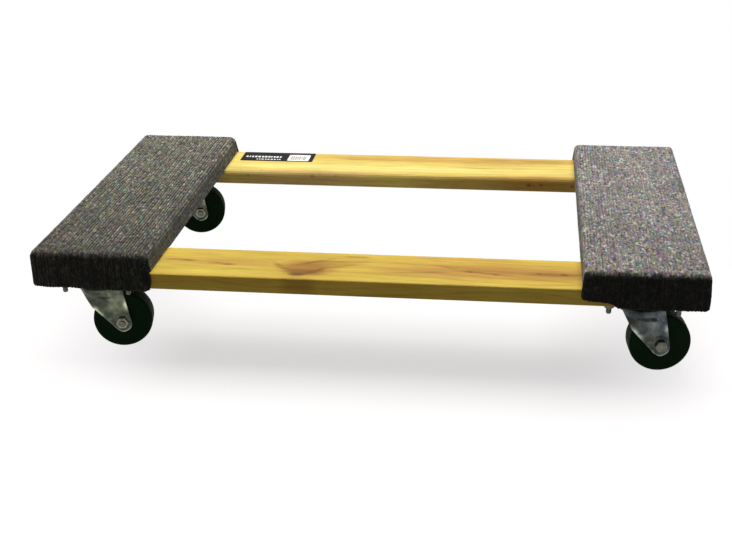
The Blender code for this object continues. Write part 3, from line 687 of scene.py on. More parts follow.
def make_carpet(side, sx, seed):
    rng = np.random.default_rng(seed)
    x, z, nx, nz, zone, arc = across_profile()
    pts = along_profile()
    ns, nt = len(x), len(pts)
    P = np.zeros((ns, nt, 3))
    N = np.zeros((ns, nt, 3))
    y = np.array([p[0] for p in pts])
    share = np.array([p[4] for p in pts])
    top_x = (x - CX_IN) / (CX_OUT - CX_IN) * 100
    z_end = CZ_TOP - R_END
    z0_zone = np.array([q == "top" for q in zone])
    ends = np.where(z0_zone)[0]
    i0, i1 = ends[0], ends[-1] + 1              # the top rounds end at i1
    drop = np.clip(CZ_TOP - z, 0.0, R_TOP)
    hem = {sy: np.interp(top_x, HEMS[(side, sy)][0], HEMS[(side, sy)][1]) / 1000 + LIFT for sy in (-1, 1)}
    fray = rng.normal(0, 0.00035, (2, ns))
    for j, (py, pz, ny, nzz, sh) in enumerate(pts):
        sy = -1 if py < 0 else 1
        flat = abs(ny) < 1e-9
        k = 1.0 if flat else (1.0 - 0.47 * min(1.0, abs(ny)))
        for i in range(ns):
            if flat:
                P[i, j] = (x[i], py, z[i])
                N[i, j] = (nx[i], 0.0, nz[i])
                continue
            d = drop[i] * k
            if pz is None:
                bottom = hem[sy][i] + fray[0 if sy < 0 else 1, i]
                cz = z_end - (z_end - bottom) * sh
            else:
                cz = pz
            P[i, j] = (x[i], py - ny * d, cz - nzz * d)
            u = np.array((nx[i], max(nz[i], 0.0) * ny, max(nz[i], 0.0) * nzz))
            N[i, j] = u / max(np.linalg.norm(u), 1e-9)
    # which cells exist
    live = np.zeros((ns - 1, nt - 1), bool)
    for j in range(nt - 1):
        ym = (y[j] + y[j + 1]) / 2
        on_top = abs(ym) < CY - R_END + 1e-6 and share[j] == 0 and share[j + 1] == 0
        for i in range(ns - 1):
            zn = zone[i]
            if zn == "top":
                live[i, j] = True
            elif zn == "side":
                live[i, j] = on_top
            else:
                live[i, j] = on_top and abs(y[j]) < 0.1394 and abs(y[j + 1]) < 0.1394
    # pile: ribs across, loops along them, slow unevenness
    drift = smooth_noise((ns, nt), (3, 9), rng) * 0.0006
    s_at = (arc[:, None] - arc[i0] + drift) / RIB
    pair = 0.52 if sx < 0 else 0.18
    ribs = (np.cos(math.tau * s_at) * (1.15 if sx < 0 else 0.75) + np.cos(math.pi * s_at + 0.6) * pair)
    ribs = ribs * (0.85 + 0.35 * smooth_noise((ns, nt), (14, 30), rng))
    loops = rng.uniform(-1, 1, (ns, nt))
    loops = (loops + np.roll(loops, 1, 0) * 0.5 + np.roll(loops, 1, 1) * 0.5) / 1.5
    slow = smooth_noise((ns, nt), (6, 16), rng)
    skirt = np.zeros((ns, nt))
    for j in range(nt):
        skirt[:, j] = abs(pts[j][2])
    height = 0.00030 * ribs * (1 - 0.65 * skirt) + 0.00016 * loops + 0.00018 * slow
    strands = smooth_noise((ns, 2), (ns // 2, 1), rng)[:, :1]
    height = height + skirt * 0.00028 * strands
    # the skirts hang a little clear, most just above the hem
    bulge = smooth_noise((ns, 2), (4, 1), rng)[:, :1] * 0.5 + 0.5
    sag = np.sin(np.clip(share, 0, 1) * math.pi * 0.8) * 0.0011
    height = height + bulge * sag[None, :]
    inner = P - N * OUT_T
    P = P + N * height[:, :, None]
    # the inner long side leans out towards its lower edge, the skirts' inner
    # corners with it, where the cloth is folded loosely round the board
    down = np.clip((CZ_TOP - P[:, :, 2]) / (CZ_TOP - CZ_TUCK), 0, 1.3) ** 0.8
    lean = LEAN[side] * down
    fade = np.clip(1.0 - (x - CX_IN) / 0.040, 0, 1)[:, None] ** 1.5
    keep = np.array([q != "tuck" for q in zone])[:, None]
    under = np.clip(1.0 - (x - CX_IN) / 0.018, 0, 1)[:, None]
    lean = lean * np.where(keep, fade, under)
    # the skirts' lowest part hangs back in
    low = np.clip((CZ_TOP - P[:, :, 2] - 0.030) / 0.010, 0, 1) * skirt * fade
    lean = np.maximum(lean - 0.0030 * low, 0.0)
    P[:, :, 0] -= lean
    inner[:, :, 0] -= lean
    # inner skirt faces stay off the rails and boards
    for j in range(nt):
        if skirt[0, j] > 0.99:
            sy = -1 if y[j] < 0 else 1
            inner[:, j, 1] = np.where(True, sy * np.maximum(np.abs(inner[:, j, 1]), 0.2251), 0)
            P[:, j, 1] = sy * np.maximum(np.abs(P[:, j, 1]), 0.2262)
    P[:, :, 0] *= sx
    inner[:, :, 0] *= sx
    # the laid surface again; the loop below reads its cells and keeps nothing
    smoothP = P
    for i in range(ns - 1):
        a = smoothP[i, :-1]; b = smoothP[i + 1, :-1]; d = smoothP[i, 1:]
    used = np.zeros((ns, nt), bool)
    used[:-1, :-1] |= live; used[1:, :-1] |= live; used[:-1, 1:] |= live; used[1:, 1:] |= live
    index = -np.ones((ns, nt), int)
    index[used] = np.arange(used.sum())
    count = int(used.sum())
    verts = np.concatenate([P[used], inner[used]])
    faces = []
    flip = sx < 0
    edge_count = {}
    for i in range(ns - 1):
        for j in range(nt - 1):
            if not live[i, j]:
                continue
            q = (index[i, j], index[i + 1, j], index[i + 1, j + 1], index[i, j + 1])
            faces.append(q if not flip else q[::-1])
    outer_n = len(faces)
    directed = set()
    for q in faces:
        for k in range(4):
            directed.add((q[k], q[(k + 1) % 4]))
    back = [tuple(v + count for v in q[::-1]) for q in faces]
    rim = []
    for a, b in directed:
        if (b, a) not in directed:
            rim.append((b, a, a + count, b + count))
    rim.sort()
    mesh = bpy.data.meshes.new("carpet_" + side)
    mesh.from_pydata(verts.tolist(), [], [tuple(int(v) for v in q) for q in faces + back + rim])
    mesh.validate()
    mesh.update()
    mesh.materials.append(CARPET[side])
    mesh.materials.append(BACKING)
    slots = np.zeros(len(mesh.polygons), dtype=np.int32)
    slots[outer_n:2 * outer_n] = 1
    mesh.polygons.foreach_set("material_index", slots)
    mesh.shade_smooth()
    pile = mesh.attributes.new("pile", "FLOAT", "POINT")
    tone_and_painted_shade = mesh.attributes.new("tone_and_painted_shade", "FLOAT", "POINT")
    # pile values: painted shade in the rib valleys and painted light on the rib crests, stronger near the inner side,
    # with random loop tone
    near_in = np.clip(1.0 - (x - CX_IN) / 0.125, 0, 1)[:, None]
    strong = (0.50 + 0.28 * near_in) if sx < 0 else (0.24 + 0.36 * near_in ** 3)
    lines = np.where(ribs < 0, ribs * 1.0, ribs * 0.55)
    value = np.clip(0.62 + strong * lines * (1 - 0.6 * skirt) + (0.34 if sx < 0 else 0.24) * loops, 0, 1)
    # tone: painted shade on the end skirts and the long sides, where the light from above falls away; the left carpet
    # darker overall and both darker towards the front end; random strand and fleck tone
    is_side = np.array([q in ("side", "low", "tuck") for q in zone])[:, None] * np.ones((1, nt))
    skirt_shade = 0.22 if sx < 0 else 0.050
    over = np.clip((skirt - 0.25) / 0.75, 0, 1)
    tone = 1.0 - (1.0 - skirt_shade) * over - (0.48 if sx < 0 else 0.36) * is_side * (1 - skirt)
    far = (y - y.min()) / (y.max() - y.min())
    tone = tone * ((0.40 + 0.14 * far - 0.12 * (1 - far) ** 4) if sx < 0 else (0.74 + 0.14 * far))[None, :]
    tone = tone * (1.0 + 0.40 * skirt * strands)
    fleck = smooth_noise((ns, nt), (ns // 3, nt // 2), rng)
    tone = tone * (1.0 + fleck * np.where(skirt > 0.5, 0.85, 0.42 if sx < 0 else 0.05))
    pile.data.foreach_set("value", np.concatenate([value[used], value[used]]).astype(np.float32))
    tone_and_painted_shade.data.foreach_set("value", np.concatenate([tone[used], tone[used]]).astype(np.float32))
    ob = bpy.data.objects.new("carpet_" + side + "_cloth", mesh)
    bpy.context.scene.collection.objects.link(ob)
    stand_for(ob, "carpet_" + side)
    return ob


# ==================================================================== sticker
def make_label():
    x0, x1, y0, y1 = -0.2295, -0.1245, 0.1855, 0.2235
    z0, z1 = 0.1109, 0.11115
    mesh = bpy.data.meshes.new("label")
    bm = bmesh.new()

    def slab(a0, a1, b0, b1, c0, c1, r, mat, n=6):
        ring = []
        for cx, cy, start in ((a1 - r, b1 - r, 0), (a0 + r, b1 - r, 90), (a0 + r, b0 + r, 180), (a1 - r, b0 + r, 270)):
            for k in range(n + 1):
                t = math.radians(start + 90 * k / n)
                ring.append((cx + r * math.cos(t), cy + r * math.sin(t)))
        low = [bm.verts.new((px, py, c0)) for px, py in ring]
        high = [bm.verts.new((px, py, c1)) for px, py in ring]
        fs = [bm.faces.new(high), bm.faces.new(low[::-1])]
        for k in range(len(ring)):
            m = (k + 1) % len(ring)
            fs.append(bm.faces.new((low[k], low[m], high[m], high[k])))
        for f in fs:
            f.material_index = mat

    slab(x0, x1, y0, y1, z0, z1, 0.0020, 0)
    rng = np.random.default_rng(21)
    up = 0.00005
    for row, (b0, b1) in enumerate(((0.2000, 0.2068), (0.1905, 0.1942))):
        px = x0 + (0.0055, 0.0230)[row]
        while px < x0 + 0.058:
            w = float(rng.uniform(0.0016, 0.0036))
            low = b0 + float(rng.uniform(0.0, 0.0014)) * (1 - row)
            slab(px, min(px + w, x0 + 0.061), low, b1, z1, z1 + up, 0.0004, 1, 2)
            px += w + float(rng.uniform(0.0011, 0.0020))
    slab(-0.1615, -0.1305, 0.1880, 0.2150, z1, z1 + up, 0.0024, 1, 4)
    px = -0.1570
    while px < -0.1355:
        w = float(rng.uniform(0.0005, 0.0011))
        slab(px, px + w, 0.1925, 0.2085, z1 + up, z1 + 2 * up, 0.00010, 2, 1)
        px += w + float(rng.uniform(0.0009, 0.0016))
    bm.to_mesh(mesh)
    bm.free()
    ob = link("label_sticker", mesh, STICKER, STICKER_PALE, STICKER_INK)
    return stand_for(ob, "label")


# ==================================================================== casters
def temp(mesh):
    ob = bpy.data.objects.new("temp", mesh)
    bpy.context.scene.collection.objects.link(ob)
    return ob


def boolean(ob, other, operation="DIFFERENCE"):
    mod = ob.modifiers.new("b", "BOOLEAN")
    mod.operation = operation
    mod.solver = "EXACT"
    mod.object = other


def cyl(x, y, z0, z1, r, steps=40, axis="Z"):
    mesh = turned("cyl", [(0, z1), (r, z1), (r, z0), (0, z0)], steps)
    if axis == "Y":
        mesh.transform(Matrix.Rotation(math.pi / 2, 4, "X"))
        mesh.transform(Matrix.Translation((x, y, WHEEL_R)))
    else:
        mesh.transform(Matrix.Translation((x, y, 0)))
    return mesh


def along_y(mesh):
    mesh.transform(Matrix.Rotation(math.pi / 2, 4, "X"))
    return mesh


CROWN = [(0.0056, 0.0806), (0.0178, 0.0806), (0.0188, 0.0802), (0.0199, 0.0794),
         (0.0210, 0.0792), (0.0221, 0.0794), (0.0232, 0.0802), (0.0242, 0.0806),
         (0.0254, 0.0805), (0.0263, 0.0801), (0.0270, 0.0794), (0.0274, 0.0786),
         (RIM_R, 0.0776), (RIM_R, RIM_Z)]


def fork_surface(divisions, rows):
    bm = bmesh.new()
    rings = []
    for r, z in CROWN:
        rings.append([bm.verts.new((r * math.cos(math.tau * j / divisions),
                                    r * math.sin(math.tau * j / divisions), z))
                      for j in range(divisions)])
    for a, b in zip(rings, rings[1:]):
        for j in range(divisions):
            k = (j + 1) % divisions
            bm.faces.new((a[j], b[j], b[k], a[k]))
    half = round(60.0 / (360.0 / divisions))
    rim = rings[-1]
    reach = RIM_R * math.sin(math.radians(60.0))
    cx, cz, r = TRAIL, WHEEL_R - LIFT - 0.0032, 0.0105
    kx, kz = KINK_X, KINK_Z - LIFT
    dx, dz = cx - kx, cz - kz
    dist = math.hypot(dx, dz)
    turn = math.atan2(dz, dx) - math.asin(r / dist)
    run = math.sqrt(dist * dist - r * r)
    tx, tz = kx + run * math.cos(turn), kz + run * math.sin(turn)

    def left(z):
        if z >= kz:
            return -reach + (kx + reach) * (RIM_Z - z) / (RIM_Z - kz)
        if z >= tz:
            return kx + (tx - kx) * (kz - z) / (kz - tz)
        return cx - math.sqrt(max(r * r - (z - cz) ** 2, 0.0))

    def right(z):
        if z >= cz:
            return reach + (cx + r - reach) * (RIM_Z - z) / (RIM_Z - cz)
        return cx + math.sqrt(max(r * r - (z - cz) ** 2, 0.0))

    for side in (-1, 1):
        middle = round((270.0 if side < 0 else 90.0) / (360.0 / divisions))
        cols = list(range(-half, half + 1))
        previous = [rim[(middle + (c if side < 0 else -c)) % divisions] for c in cols]
        top = [(v.co.x, v.co.y) for v in previous]
        for z in rows:
            t = min(1.0, (RIM_Z - z) / 0.015)
            w = t * t * (3.0 - 2.0 * t)
            x0, x1 = left(z), right(z)
            row = []
            for x, y in top:
                u = x / reach
                px = (x0 + x1) / 2 + u * (x1 - x0) / 2
                # the legs' edges are pressed in a little, more on the straight
                # lower part of the leading edge; the axle sits on a flat pad
                # inside a shallow ring, under a soft crease down the leg
                lower = min(1.0, max(0.0, (kz + 0.002 - z) / 0.006))
                edge = 0.0010 + (0.0008 * lower if u < 0 else 0.0)
                roll = edge * w * max(0.0, (abs(u) - 0.62) / 0.38) ** 1.6
                from_axle = math.hypot(px - TRAIL, z - (WHEEL_R - LIFT))
                ring = math.exp(-((from_axle - 0.0104) / 0.0019) ** 2)
                crease = math.exp(-((px - 0.0060 - (kz - z) * 0.35) / 0.0050) ** 2)
                crease *= min(1.0, max(0.0, (z - 0.040) / 0.010)) * w
                depth = roll + 0.00055 * ring * w + 0.00060 * crease
                row.append(bm.verts.new((px, y + (side * (LEG_OUT - depth) - y) * w, z)))
            for i in range(len(row) - 1):
                quad = (previous[i], row[i], row[i + 1], previous[i + 1])
                bm.faces.new(quad if side < 0 else quad[::-1])
            previous = row
    mesh = bpy.data.meshes.new("fork")
    bm.to_mesh(mesh)
    bm.free()
    return mesh


def make_fork():
    rows = [0.0745, 0.0738, 0.0729, 0.0719, 0.0708, 0.0696, 0.0683, 0.0670, 0.0656,
            0.0642, 0.0628, 0.0614, 0.0600, 0.0584, 0.0568, 0.0552, 0.0537, 0.0522,
            0.0507, 0.0492, 0.0476, 0.0460, 0.0444, 0.0428, 0.0412, 0.0396, 0.0380,
            0.0364, 0.0348, 0.0332, 0.0316, 0.0300, 0.0284, 0.0269, 0.0255, 0.0242,
            0.0230, 0.0220, 0.0212, 0.0206, 0.0202, 0.01988]
    ob = temp(fork_surface(120, rows))
    solid = ob.modifiers.new("gauge", "SOLIDIFY")
    solid.thickness = FORK_T
    solid.offset = -1.0
    solid.use_even_offset = True
    bev = ob.modifiers.new("edge", "BEVEL")
    bev.width = 0.00035
    bev.segments = 2
    bev.limit_method = "ANGLE"
    bev.angle_limit = math.radians(50)
    hole = cyl(TRAIL, 0, -0.04, 0.04, 0.0043, 40, "Y")
    hole.transform(Matrix.Translation((0, 0, -LIFT)))
    cut = temp(hole)
    boolean(ob, cut)
    mesh = evaluated(ob)
    bpy.data.objects.remove(cut, do_unlink=True)
    # the legs' inner faces are flat where they face the hub and the bushing
    for v in mesh.vertices:
        off = math.hypot(v.co.x - TRAIL, v.co.z - (WHEEL_R - LIFT))
        if off < 0.0160 and 0.0135 < abs(v.co.y) < 0.0155:
            v.co.y = math.copysign(0.0155, v.co.y)
    paint_fork_light_and_shade(mesh)
    return shade(mesh, 35)


def paint_fork_light_and_shade(mesh):
    """Painted light and shade over the fork, as its tone attribute: painted
    highlights along the bent leading edge and the rear edge, a painted
    reflection round the bottom of the leg's end, a painted bright patch high
    on the trailing half; painted shade in the race, round the axle ring, high
    on the leading side and in a diagonal band."""
    n = len(mesh.vertices)
    co = np.zeros(n * 3)
    mesh.vertices.foreach_get("co", co)
    x, y, z = co.reshape(n, 3).T
    z = z + LIFT
    # distance outside the straight lower leading edge, negative inside
    ax, az, bx, bz = KINK_X, KINK_Z, 0.0136, 0.0234
    length = math.hypot(bx - ax, bz - az)
    ux, uz = (bx - ax) / length, (bz - az) / length
    along = (x - ax) * ux + (z - az) * uz
    off = (x - ax) * -uz + (z - az) * ux
    bell = lambda d, w: np.exp(-(d / w) ** 2)
    # painted highlights on the leading and rear edges, painted reflection at the leg's end, painted bright patch;
    # painted shade round the axle ring, high on the leading side, in a diagonal band and in the race
    leading = bell(off - 0.0012, 0.0026) * bell(along - 0.0062, 0.0072)
    rear = bell(x - (0.0238 + (0.0766 - z) * 0.17) + 0.0012, 0.0022) * bell(z - 0.0560, 0.0055)
    axle = np.hypot(x - TRAIL, z - WHEEL_R)
    axle_ring_shade = bell(axle - 0.0100, 0.0026) * (z > 0.020)
    soft = bell(x - 0.0120, 0.0080) * bell(z - 0.0640, 0.0130)
    shadow = bell(x + 0.0120, 0.0090) * bell(z - 0.0660, 0.0140)
    painted_shade_band = bell(along - 0.0190, 0.0040) * bell(off - 0.0050, 0.0050)
    race_shade = (z > 0.0770) * bell(np.hypot(x, y) - 0.0255, 0.0040)
    foot = np.hypot(x - TRAIL, z - (WHEEL_R - 0.0032))
    rim = bell(foot - 0.0104, 0.0012) * np.clip((0.0300 - z) / 0.0060, 0, 1)
    tone = 0.86 + 2.6 * rim + 5.0 * leading + 3.4 * rear - 0.30 * axle_ring_shade + 0.60 * soft - 0.52 * shadow - 0.40 * painted_shade_band - 0.30 * race_shade
    layer = mesh.attributes.new("tone", "FLOAT", "POINT")
    layer.data.foreach_set("value", np.clip(tone, 0.3, 6.0).astype(np.float32))


def rounded_slab(x, y, z0, z1, r, n=8, edge=0.0004):
    bm = bmesh.new()
    ring = []
    for sx, sy, start in ((1, 1, 0), (-1, 1, 90), (-1, -1, 180), (1, -1, 270)):
        for k in range(n + 1):
            t = math.radians(start + 90 * k / n)
            ring.append((sx * (x - r) + r * math.cos(t), sy * (y - r) + r * math.sin(t)))
    levels = [(z0, edge), (z0 + edge, 0.0), (z1 - edge, 0.0), (z1, edge)]
    loops = []
    for z, inset in levels:
        f = 1 - inset / max(x, y)
        loops.append([bm.verts.new((px * f, py * f, z)) for px, py in ring])
    m = len(ring)
    for a, b in zip(loops, loops[1:]):
        for k in range(m):
            q = (k + 1) % m
            bm.faces.new((a[k], a[q], b[q], b[k]))
    bm.faces.new(loops[0][::-1])
    bm.faces.new(loops[-1])
    mesh = bpy.data.meshes.new("slab")
    bm.to_mesh(mesh)
    bm.free()
    return mesh


def make_plate():
    z1 = 0.0899
    z0 = z1 - 0.0025
    slab = temp(rounded_slab(0.046, 0.032, z0, z1, 0.008))
    cuts = [temp(cyl(a * 0.038, b * 0.0222, z0 - 0.01, z1 + 0.01, 0.0034, 32))
            for a in (-1, 1) for b in (-1, 1)]
    cuts.append(temp(cyl(0, 0, z0 - 0.01, z1 + 0.01, 0.0130, 64)))
    for c in cuts:
        boolean(slab, c)
    lower = 0.0834
    boss = temp(turned("boss", [
        (0.0255, z0 + 0.0006), (0.0255, lower + 0.0014), (0.0251, lower + 0.0005),
        (0.0242, lower), (0.0232, lower + 0.0004), (0.0221, lower + 0.0012),
        (0.0210, lower + 0.0014), (0.0199, lower + 0.0012), (0.0188, lower + 0.0004),
        (0.0178, lower), (0.0054, lower), (0.0054, 0.0862), (0.0120, 0.0862),
        (0.0126, 0.0866), (0.0126, z0 + 0.0006)], 64, ring=True))
    boolean(slab, boss, "UNION")
    mesh = evaluated(slab)
    for c in cuts + [boss]:
        bpy.data.objects.remove(c, do_unlink=True)
    return shade(mesh, 30)


def thread(r, z_top, z_bottom, pitch=0.00127, depth=0.00028):
    """Profile points of a threaded shank, from top to bottom."""
    out = []
    z = z_top
    while z > z_bottom + pitch:
        out.append((r - depth, z))
        out.append((r, z - pitch / 2))
        z -= pitch
    out.append((r - depth, z))
    return out


def make_balls():
    n = 28
    return joined("balls", [sphere(0.0022, (0.021 * math.cos(math.tau * k / n),
                                            0.021 * math.sin(math.tau * k / n), 0.082), 16, 10)
                            for k in range(n)])


def make_wheel():
    half = [(0.0115, 0.0150), (0.0119, 0.0149), (0.0123, 0.0134), (0.0128, 0.0129),
            (0.0160, 0.0130), (0.0230, 0.0132), (0.0305, 0.0133), (0.0322, 0.0133),
            (0.0335, 0.0127), (0.0344, 0.0116), (0.03475, 0.0104), (0.0349, 0.0090),
            (0.0349, 0.0045), (0.0349, 0.0006), (0.03502, 0.0002)]
    prof = half + [(r, -z) for r, z in half[::-1]]
    prof += [(0.0064, -0.0150), (0.0060, -0.0146), (0.0060, 0.0146), (0.0064, 0.0150)]
    return shade(along_y(turned("wheel", prof, 128, ring=True)), 34)


def make_axle_bolt():
    r = 0.00395
    stem = [(0, 0.0258), (r - 0.0007, 0.0258), (r - 0.0002, 0.0253)]
    stem += thread(r, 0.0250, 0.0150, 0.0014, 0.0003)
    stem += [(r, 0.0130), (r, -0.0184), (0, -0.0184)]
    stem_mesh = turned("stem", stem, 40)
    head = hexagon("head", 0.0073, -0.0235, -0.0183, 0.0, 0.0007)
    cap = turned("cap", [(0, -0.02345), (0.0052, -0.02345), (0.0050, -0.02375), (0, -0.0238)], 40)
    return shade(along_y(joined("axle_bolt", [stem_mesh, head, cap])), 30)


def make_axle_nut():
    nut = hexagon("nut", 0.0073, 0.0183, 0.0236, 0.0043, 0.0005)
    collar = turned("collar", [(0.0049, 0.0242), (0.0053, 0.0240), (0.0056, 0.0234),
                               (0.0043, 0.0234), (0.0043, 0.0242)], 48, ring=True)
    return shade(along_y(joined("axle_nut", [nut, collar])), 30)


def make_plate_bolt():
    r = 0.0031
    prof = [(0, 0.1279), (0.0030, 0.1276), (0.0055, 0.1268), (0.0070, 0.1256), (0.0076, 0.1249),
            (0.0074, 0.1248), (r, 0.1248), (r, 0.0905)]
    prof += thread(r, 0.0900, 0.0744, 0.00127, 0.00026)
    prof += [(r - 0.0007, 0.0740), (0, 0.0740)]
    stem = turned("stem", prof, 32)
    nut = hexagon("nut", 0.0062, 0.0816, 0.0871, 0.0029, 0.0006)
    return shade(joined("plate_bolt", [stem, nut]), 30)


MESHES = {
    "caster_plate": (make_plate(), ZINC_PLATE, "fixed"),
    "kingpin": (shade(turned("kingpin", rounded([
        (0, 0.0890), (0.0085, 0.0890), (0.0095, 0.0882), (0.0095, 0.0865),
        (0.0050, 0.0865), (0.0050, 0.0759), (0.0090, 0.0759), (0.0090, 0.0743),
        (0.0070, 0.0732), (0, 0.0732)], [0, .0004, .0004, .0003, .0002, .0003, .0004, .0005, .0006, 0]), 48)),
        ZINC_BOLT, "fixed"),
    "ball_ring": (shade(make_balls(), 80), STEEL, "fixed"),
    "thrust_washer": (shade(turned("washer", [(0.0105, 0.0778), (0.0105, 0.0764),
                                             (0.0103, 0.0762), (0.0054, 0.0762),
                                             (0.0054, 0.0780), (0.0103, 0.0780)], 48, ring=True)),
                      ZINC_BOLT, "fixed"),
    "fork": (make_fork(), None, "turning"),
    "wheel": (make_wheel(), RUBBER, "axle"),
    "axle_bushing": (shade(along_y(turned("bushing", [
        (0.0057, 0.0151), (0.0055, 0.0153), (0.0045, 0.0153), (0.0043, 0.0151),
        (0.0043, -0.0151), (0.0045, -0.0153), (0.0055, -0.0153), (0.0057, -0.0151)][::-1],
        48, ring=True))), SLEEVE, "axle"),
    "axle_bolt": (make_axle_bolt(), ZINC_BOLT, "nut"),
    "axle_nut": (make_axle_nut(), ZINC_NUT, "nut"),
}
PLATE_BOLT = make_plate_bolt()

for cname, (sx, sy, swivel, nut) in CASTERS.items():
    fixed = Matrix.Translation((sx * CASTER_X, sy * CASTER_Y, 0))
    turning = fixed @ Matrix.Rotation(math.radians(swivel), 4, "Z")
    axle = turning @ Matrix.Translation((TRAIL, 0, WHEEL_R))
    flipped = axle @ Matrix.Rotation(0.0 if nut < 0 else math.pi, 4, "Z")
    rise = Matrix.Translation((0, 0, LIFT))
    where = {"fixed": rise @ fixed, "turning": rise @ turning, "axle": axle, "nut": flipped}
    for key, (mesh, mat, group) in MESHES.items():
        copy = mesh.copy()
        copy.transform(where[group])
        copy.materials.clear()
        plating = mat or (ZINC_GREEN if sx < 0 else ZINC_BLUE)
        ob = link(key + "_" + cname + "_looks", copy, plating)
        stand_for(ob, key + "_" + cname)
    n = 0
    for ox in (-1, 1):
        for oy in (-1, 1):
            n += 1
            copy = PLATE_BOLT.copy()
            copy.transform(rise @ fixed @ Matrix.Translation((ox * 0.038, oy * 0.0222, 0))
                           @ Matrix.Rotation(math.radians(17.0 * n + 31 * sx), 4, "Z"))
            copy.materials.clear()
            ob = link("plate_bolt_%s_%d_looks" % (cname, n), copy, ZINC_BOLT)
            stand_for(ob, "plate_bolt_%s_%d" % (cname, n))

make_carpet("left", -1, 11)
make_carpet("right", 1, 29)
make_label()

# --------------------------------------------- CAD pieces that keep their shape
for node, mat in (("rail_front", WOOD_FRONT), ("rail_rear", WOOD_REAR),
                  ("board_left", WOOD_LEFT), ("board_right", WOOD_RIGHT)):
    ob = NODES[node]
    ob.data.materials.clear()
    ob.data.materials.append(mat)


# ============================================================ floor and light
def floor_material():
    """A pale sweep: a painted soft shadow below the front rail, faint real
    shadows below the object, plain white behind."""
    g = Graph("pale_floor")
    v = g.coords()
    sep = g.node("ShaderNodeSeparateXYZ", None, Vector=v)
    behind = g.math("DIVIDE", g.math("ADD", sep.outputs[1], 0.0), 0.12, clamp=True)
    behind = g.math("SMOOTH_MIN", behind, 1.0, 0.1)
    # the painted soft shadow below the front rail, fading at both ends
    t = g.math("DIVIDE", g.math("ADD", sep.outputs[1], 0.183), 0.074)
    bell = g.math("EXPONENT", g.math("MULTIPLY", g.math("MULTIPLY", t, t), -0.5))
    near = g.node("ShaderNodeMapRange", {"interpolation_type": "SMOOTHSTEP"}, Value=sep.outputs[0],
                  From_Min=-0.36, From_Max=-0.19).outputs[0]
    away = g.node("ShaderNodeMapRange", {"interpolation_type": "SMOOTHSTEP"}, Value=sep.outputs[0],
                  From_Min=0.43, From_Max=0.22).outputs[0]
    painted_shade_band = g.math("MULTIPLY", bell, g.math("MULTIPLY", near, away))
    grain = g.noise(v, 60.0, 3.0)
    level = g.math("ADD", 0.90, g.math("MULTIPLY", g.math("SUBTRACT", grain.outputs["Fac"], 0.5), 0.008))
    level = g.math("SUBTRACT", level, g.math("MULTIPLY", painted_shade_band, 0.29))
    diffuse = g.node("ShaderNodeBsdfDiffuse", None, Color=(0.17, 0.17, 0.17, 1))
    glow = g.node("ShaderNodeEmission", None, Color=(1, 0.985, 0.990, 1), Strength=level)
    white = g.node("ShaderNodeEmission", None, Color=(1, 1, 1, 1), Strength=1.0)
    front = g.nt.nodes.new("ShaderNodeAddShader")
    g.nt.links.new(diffuse.outputs[0], front.inputs[0])
    g.nt.links.new(glow.outputs[0], front.inputs[1])
    seen = g.nt.nodes.new("ShaderNodeMixShader")
    g.nt.links.new(behind, seen.inputs[0])
    g.nt.links.new(front.outputs[0], seen.inputs[1])
    g.nt.links.new(white.outputs[0], seen.inputs[2])
    bounce = g.node("ShaderNodeBsdfDiffuse", None, Color=(0.32, 0.32, 0.31, 1))
    mirrored = g.node("ShaderNodeEmission", None, Color=(1, 0.99, 0.96, 1), Strength=0.72)
    path = g.nt.nodes.new("ShaderNodeLightPath")
    other = g.nt.nodes.new("ShaderNodeMixShader")
    g.nt.links.new(path.outputs["Is Glossy Ray"], other.inputs[0])
    g.nt.links.new(bounce.outputs[0], other.inputs[1])
    g.nt.links.new(mirrored.outputs[0], other.inputs[2])
    mixed = g.nt.nodes.new("ShaderNodeMixShader")
    g.nt.links.new(path.outputs["Is Camera Ray"], mixed.inputs[0])
    g.nt.links.new(other.outputs[0], mixed.inputs[1])
    g.nt.links.new(seen.outputs[0], mixed.inputs[2])
    g.nt.links.new(mixed.outputs[0], g.out.inputs["Surface"])
    g.nt.nodes.remove(g.bsdf)
    return g.mat


bm = bmesh.new()
vs = [bm.verts.new(p) for p in ((-5, -4, 0), (5, -4, 0), (5, 9, 0), (-5, 9, 0))]
bm.faces.new(vs)
floor_mesh = bpy.data.meshes.new("floor")
bm.to_mesh(floor_mesh)
bm.free()
floor = link("floor", floor_mesh, floor_material())


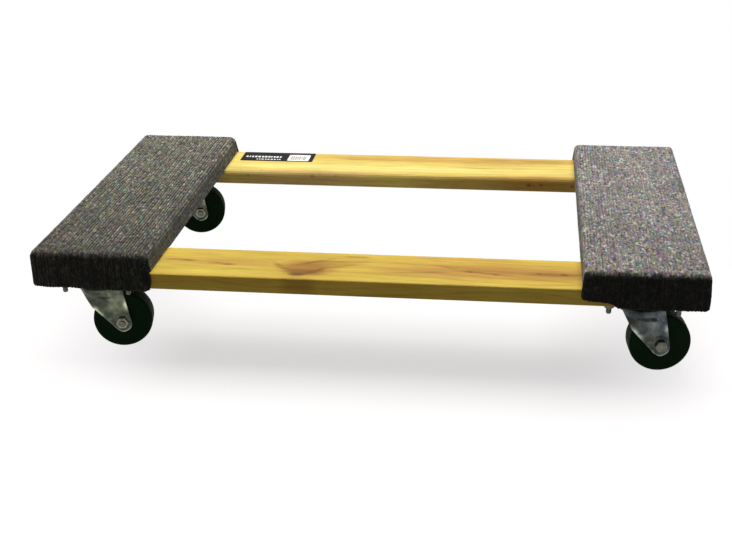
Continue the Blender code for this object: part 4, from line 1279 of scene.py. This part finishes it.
def area_light(name, loc, target, size, power, color=(1, 1, 1), size_y=None):
    data = bpy.data.lights.new(name, "AREA")
    data.energy = power
    data.color = color
    data.size = size
    if size_y:
        data.shape = "RECTANGLE"
        data.size_y = size_y
    ob = bpy.data.objects.new(name, data)
    ob.location = loc
    d = Vector(target) - Vector(loc)
    ob.rotation_euler = d.to_track_quat("-Z", "Y").to_euler()
    bpy.context.scene.collection.objects.link(ob)
    return ob


area_light("overhead", (0.0, 0.62, 2.1), (0, 0, 0.1), 2.2, 66, (1.0, 0.985, 0.955), 1.8)
area_light("left_fill", (-2.0, -0.7, 1.1), (0, 0, 0.08), 1.0, 4, (1.0, 0.95, 0.86), 1.0)

world = bpy.data.worlds.new("world")
bpy.context.scene.world = world
world.use_nodes = True
wt = world.node_tree
soft = wt.nodes["Background"]
soft.inputs["Color"].default_value = (1.0, 0.94, 0.82, 1)
soft.inputs["Strength"].default_value = 0.13
pale = wt.nodes.new("ShaderNodeBackground")
pale.inputs["Color"].default_value = (1.0, 1.0, 1.0, 1)
pale.inputs["Strength"].default_value = 0.42
kind = wt.nodes.new("ShaderNodeLightPath")
both = wt.nodes.new("ShaderNodeMixShader")
wt.links.new(kind.outputs["Is Glossy Ray"], both.inputs[0])
wt.links.new(soft.outputs[0], both.inputs[1])
wt.links.new(pale.outputs[0], both.inputs[2])
wt.links.new(both.outputs[0], wt.nodes["World Output"].inputs["Surface"])

# ===================================================================== camera
cam = bpy.data.cameras.new("camera")
cam.sensor_width = 36.0
cam.lens = 60.47
cam.clip_start = 0.02
cam_ob = bpy.data.objects.new("camera", cam)
bpy.context.scene.collection.objects.link(cam_ob)
yaw, pitch, roll = math.radians(7.892), math.radians(23.639), math.radians(-1.078)
fwd = Vector((-math.sin(yaw), math.cos(yaw), 0))
right = Vector((math.cos(yaw), math.sin(yaw), 0))
up = Vector((0, 0, 1))
fwd2 = fwd * math.cos(pitch) - up * math.sin(pitch)
up2 = fwd * math.sin(pitch) + up * math.cos(pitch)
right3 = right * math.cos(roll) + up2 * math.sin(roll)
up3 = right * -math.sin(roll) + up2 * math.cos(roll)
m = Matrix((right3, up3, -fwd2)).transposed().to_4x4()
m.translation = Vector((0.178894, -1.462735, 0.66446 + LIFT))
cam_ob.matrix_world = m
bpy.context.scene.camera = cam_ob
bpy.context.scene.view_settings.view_transform = "Standard"

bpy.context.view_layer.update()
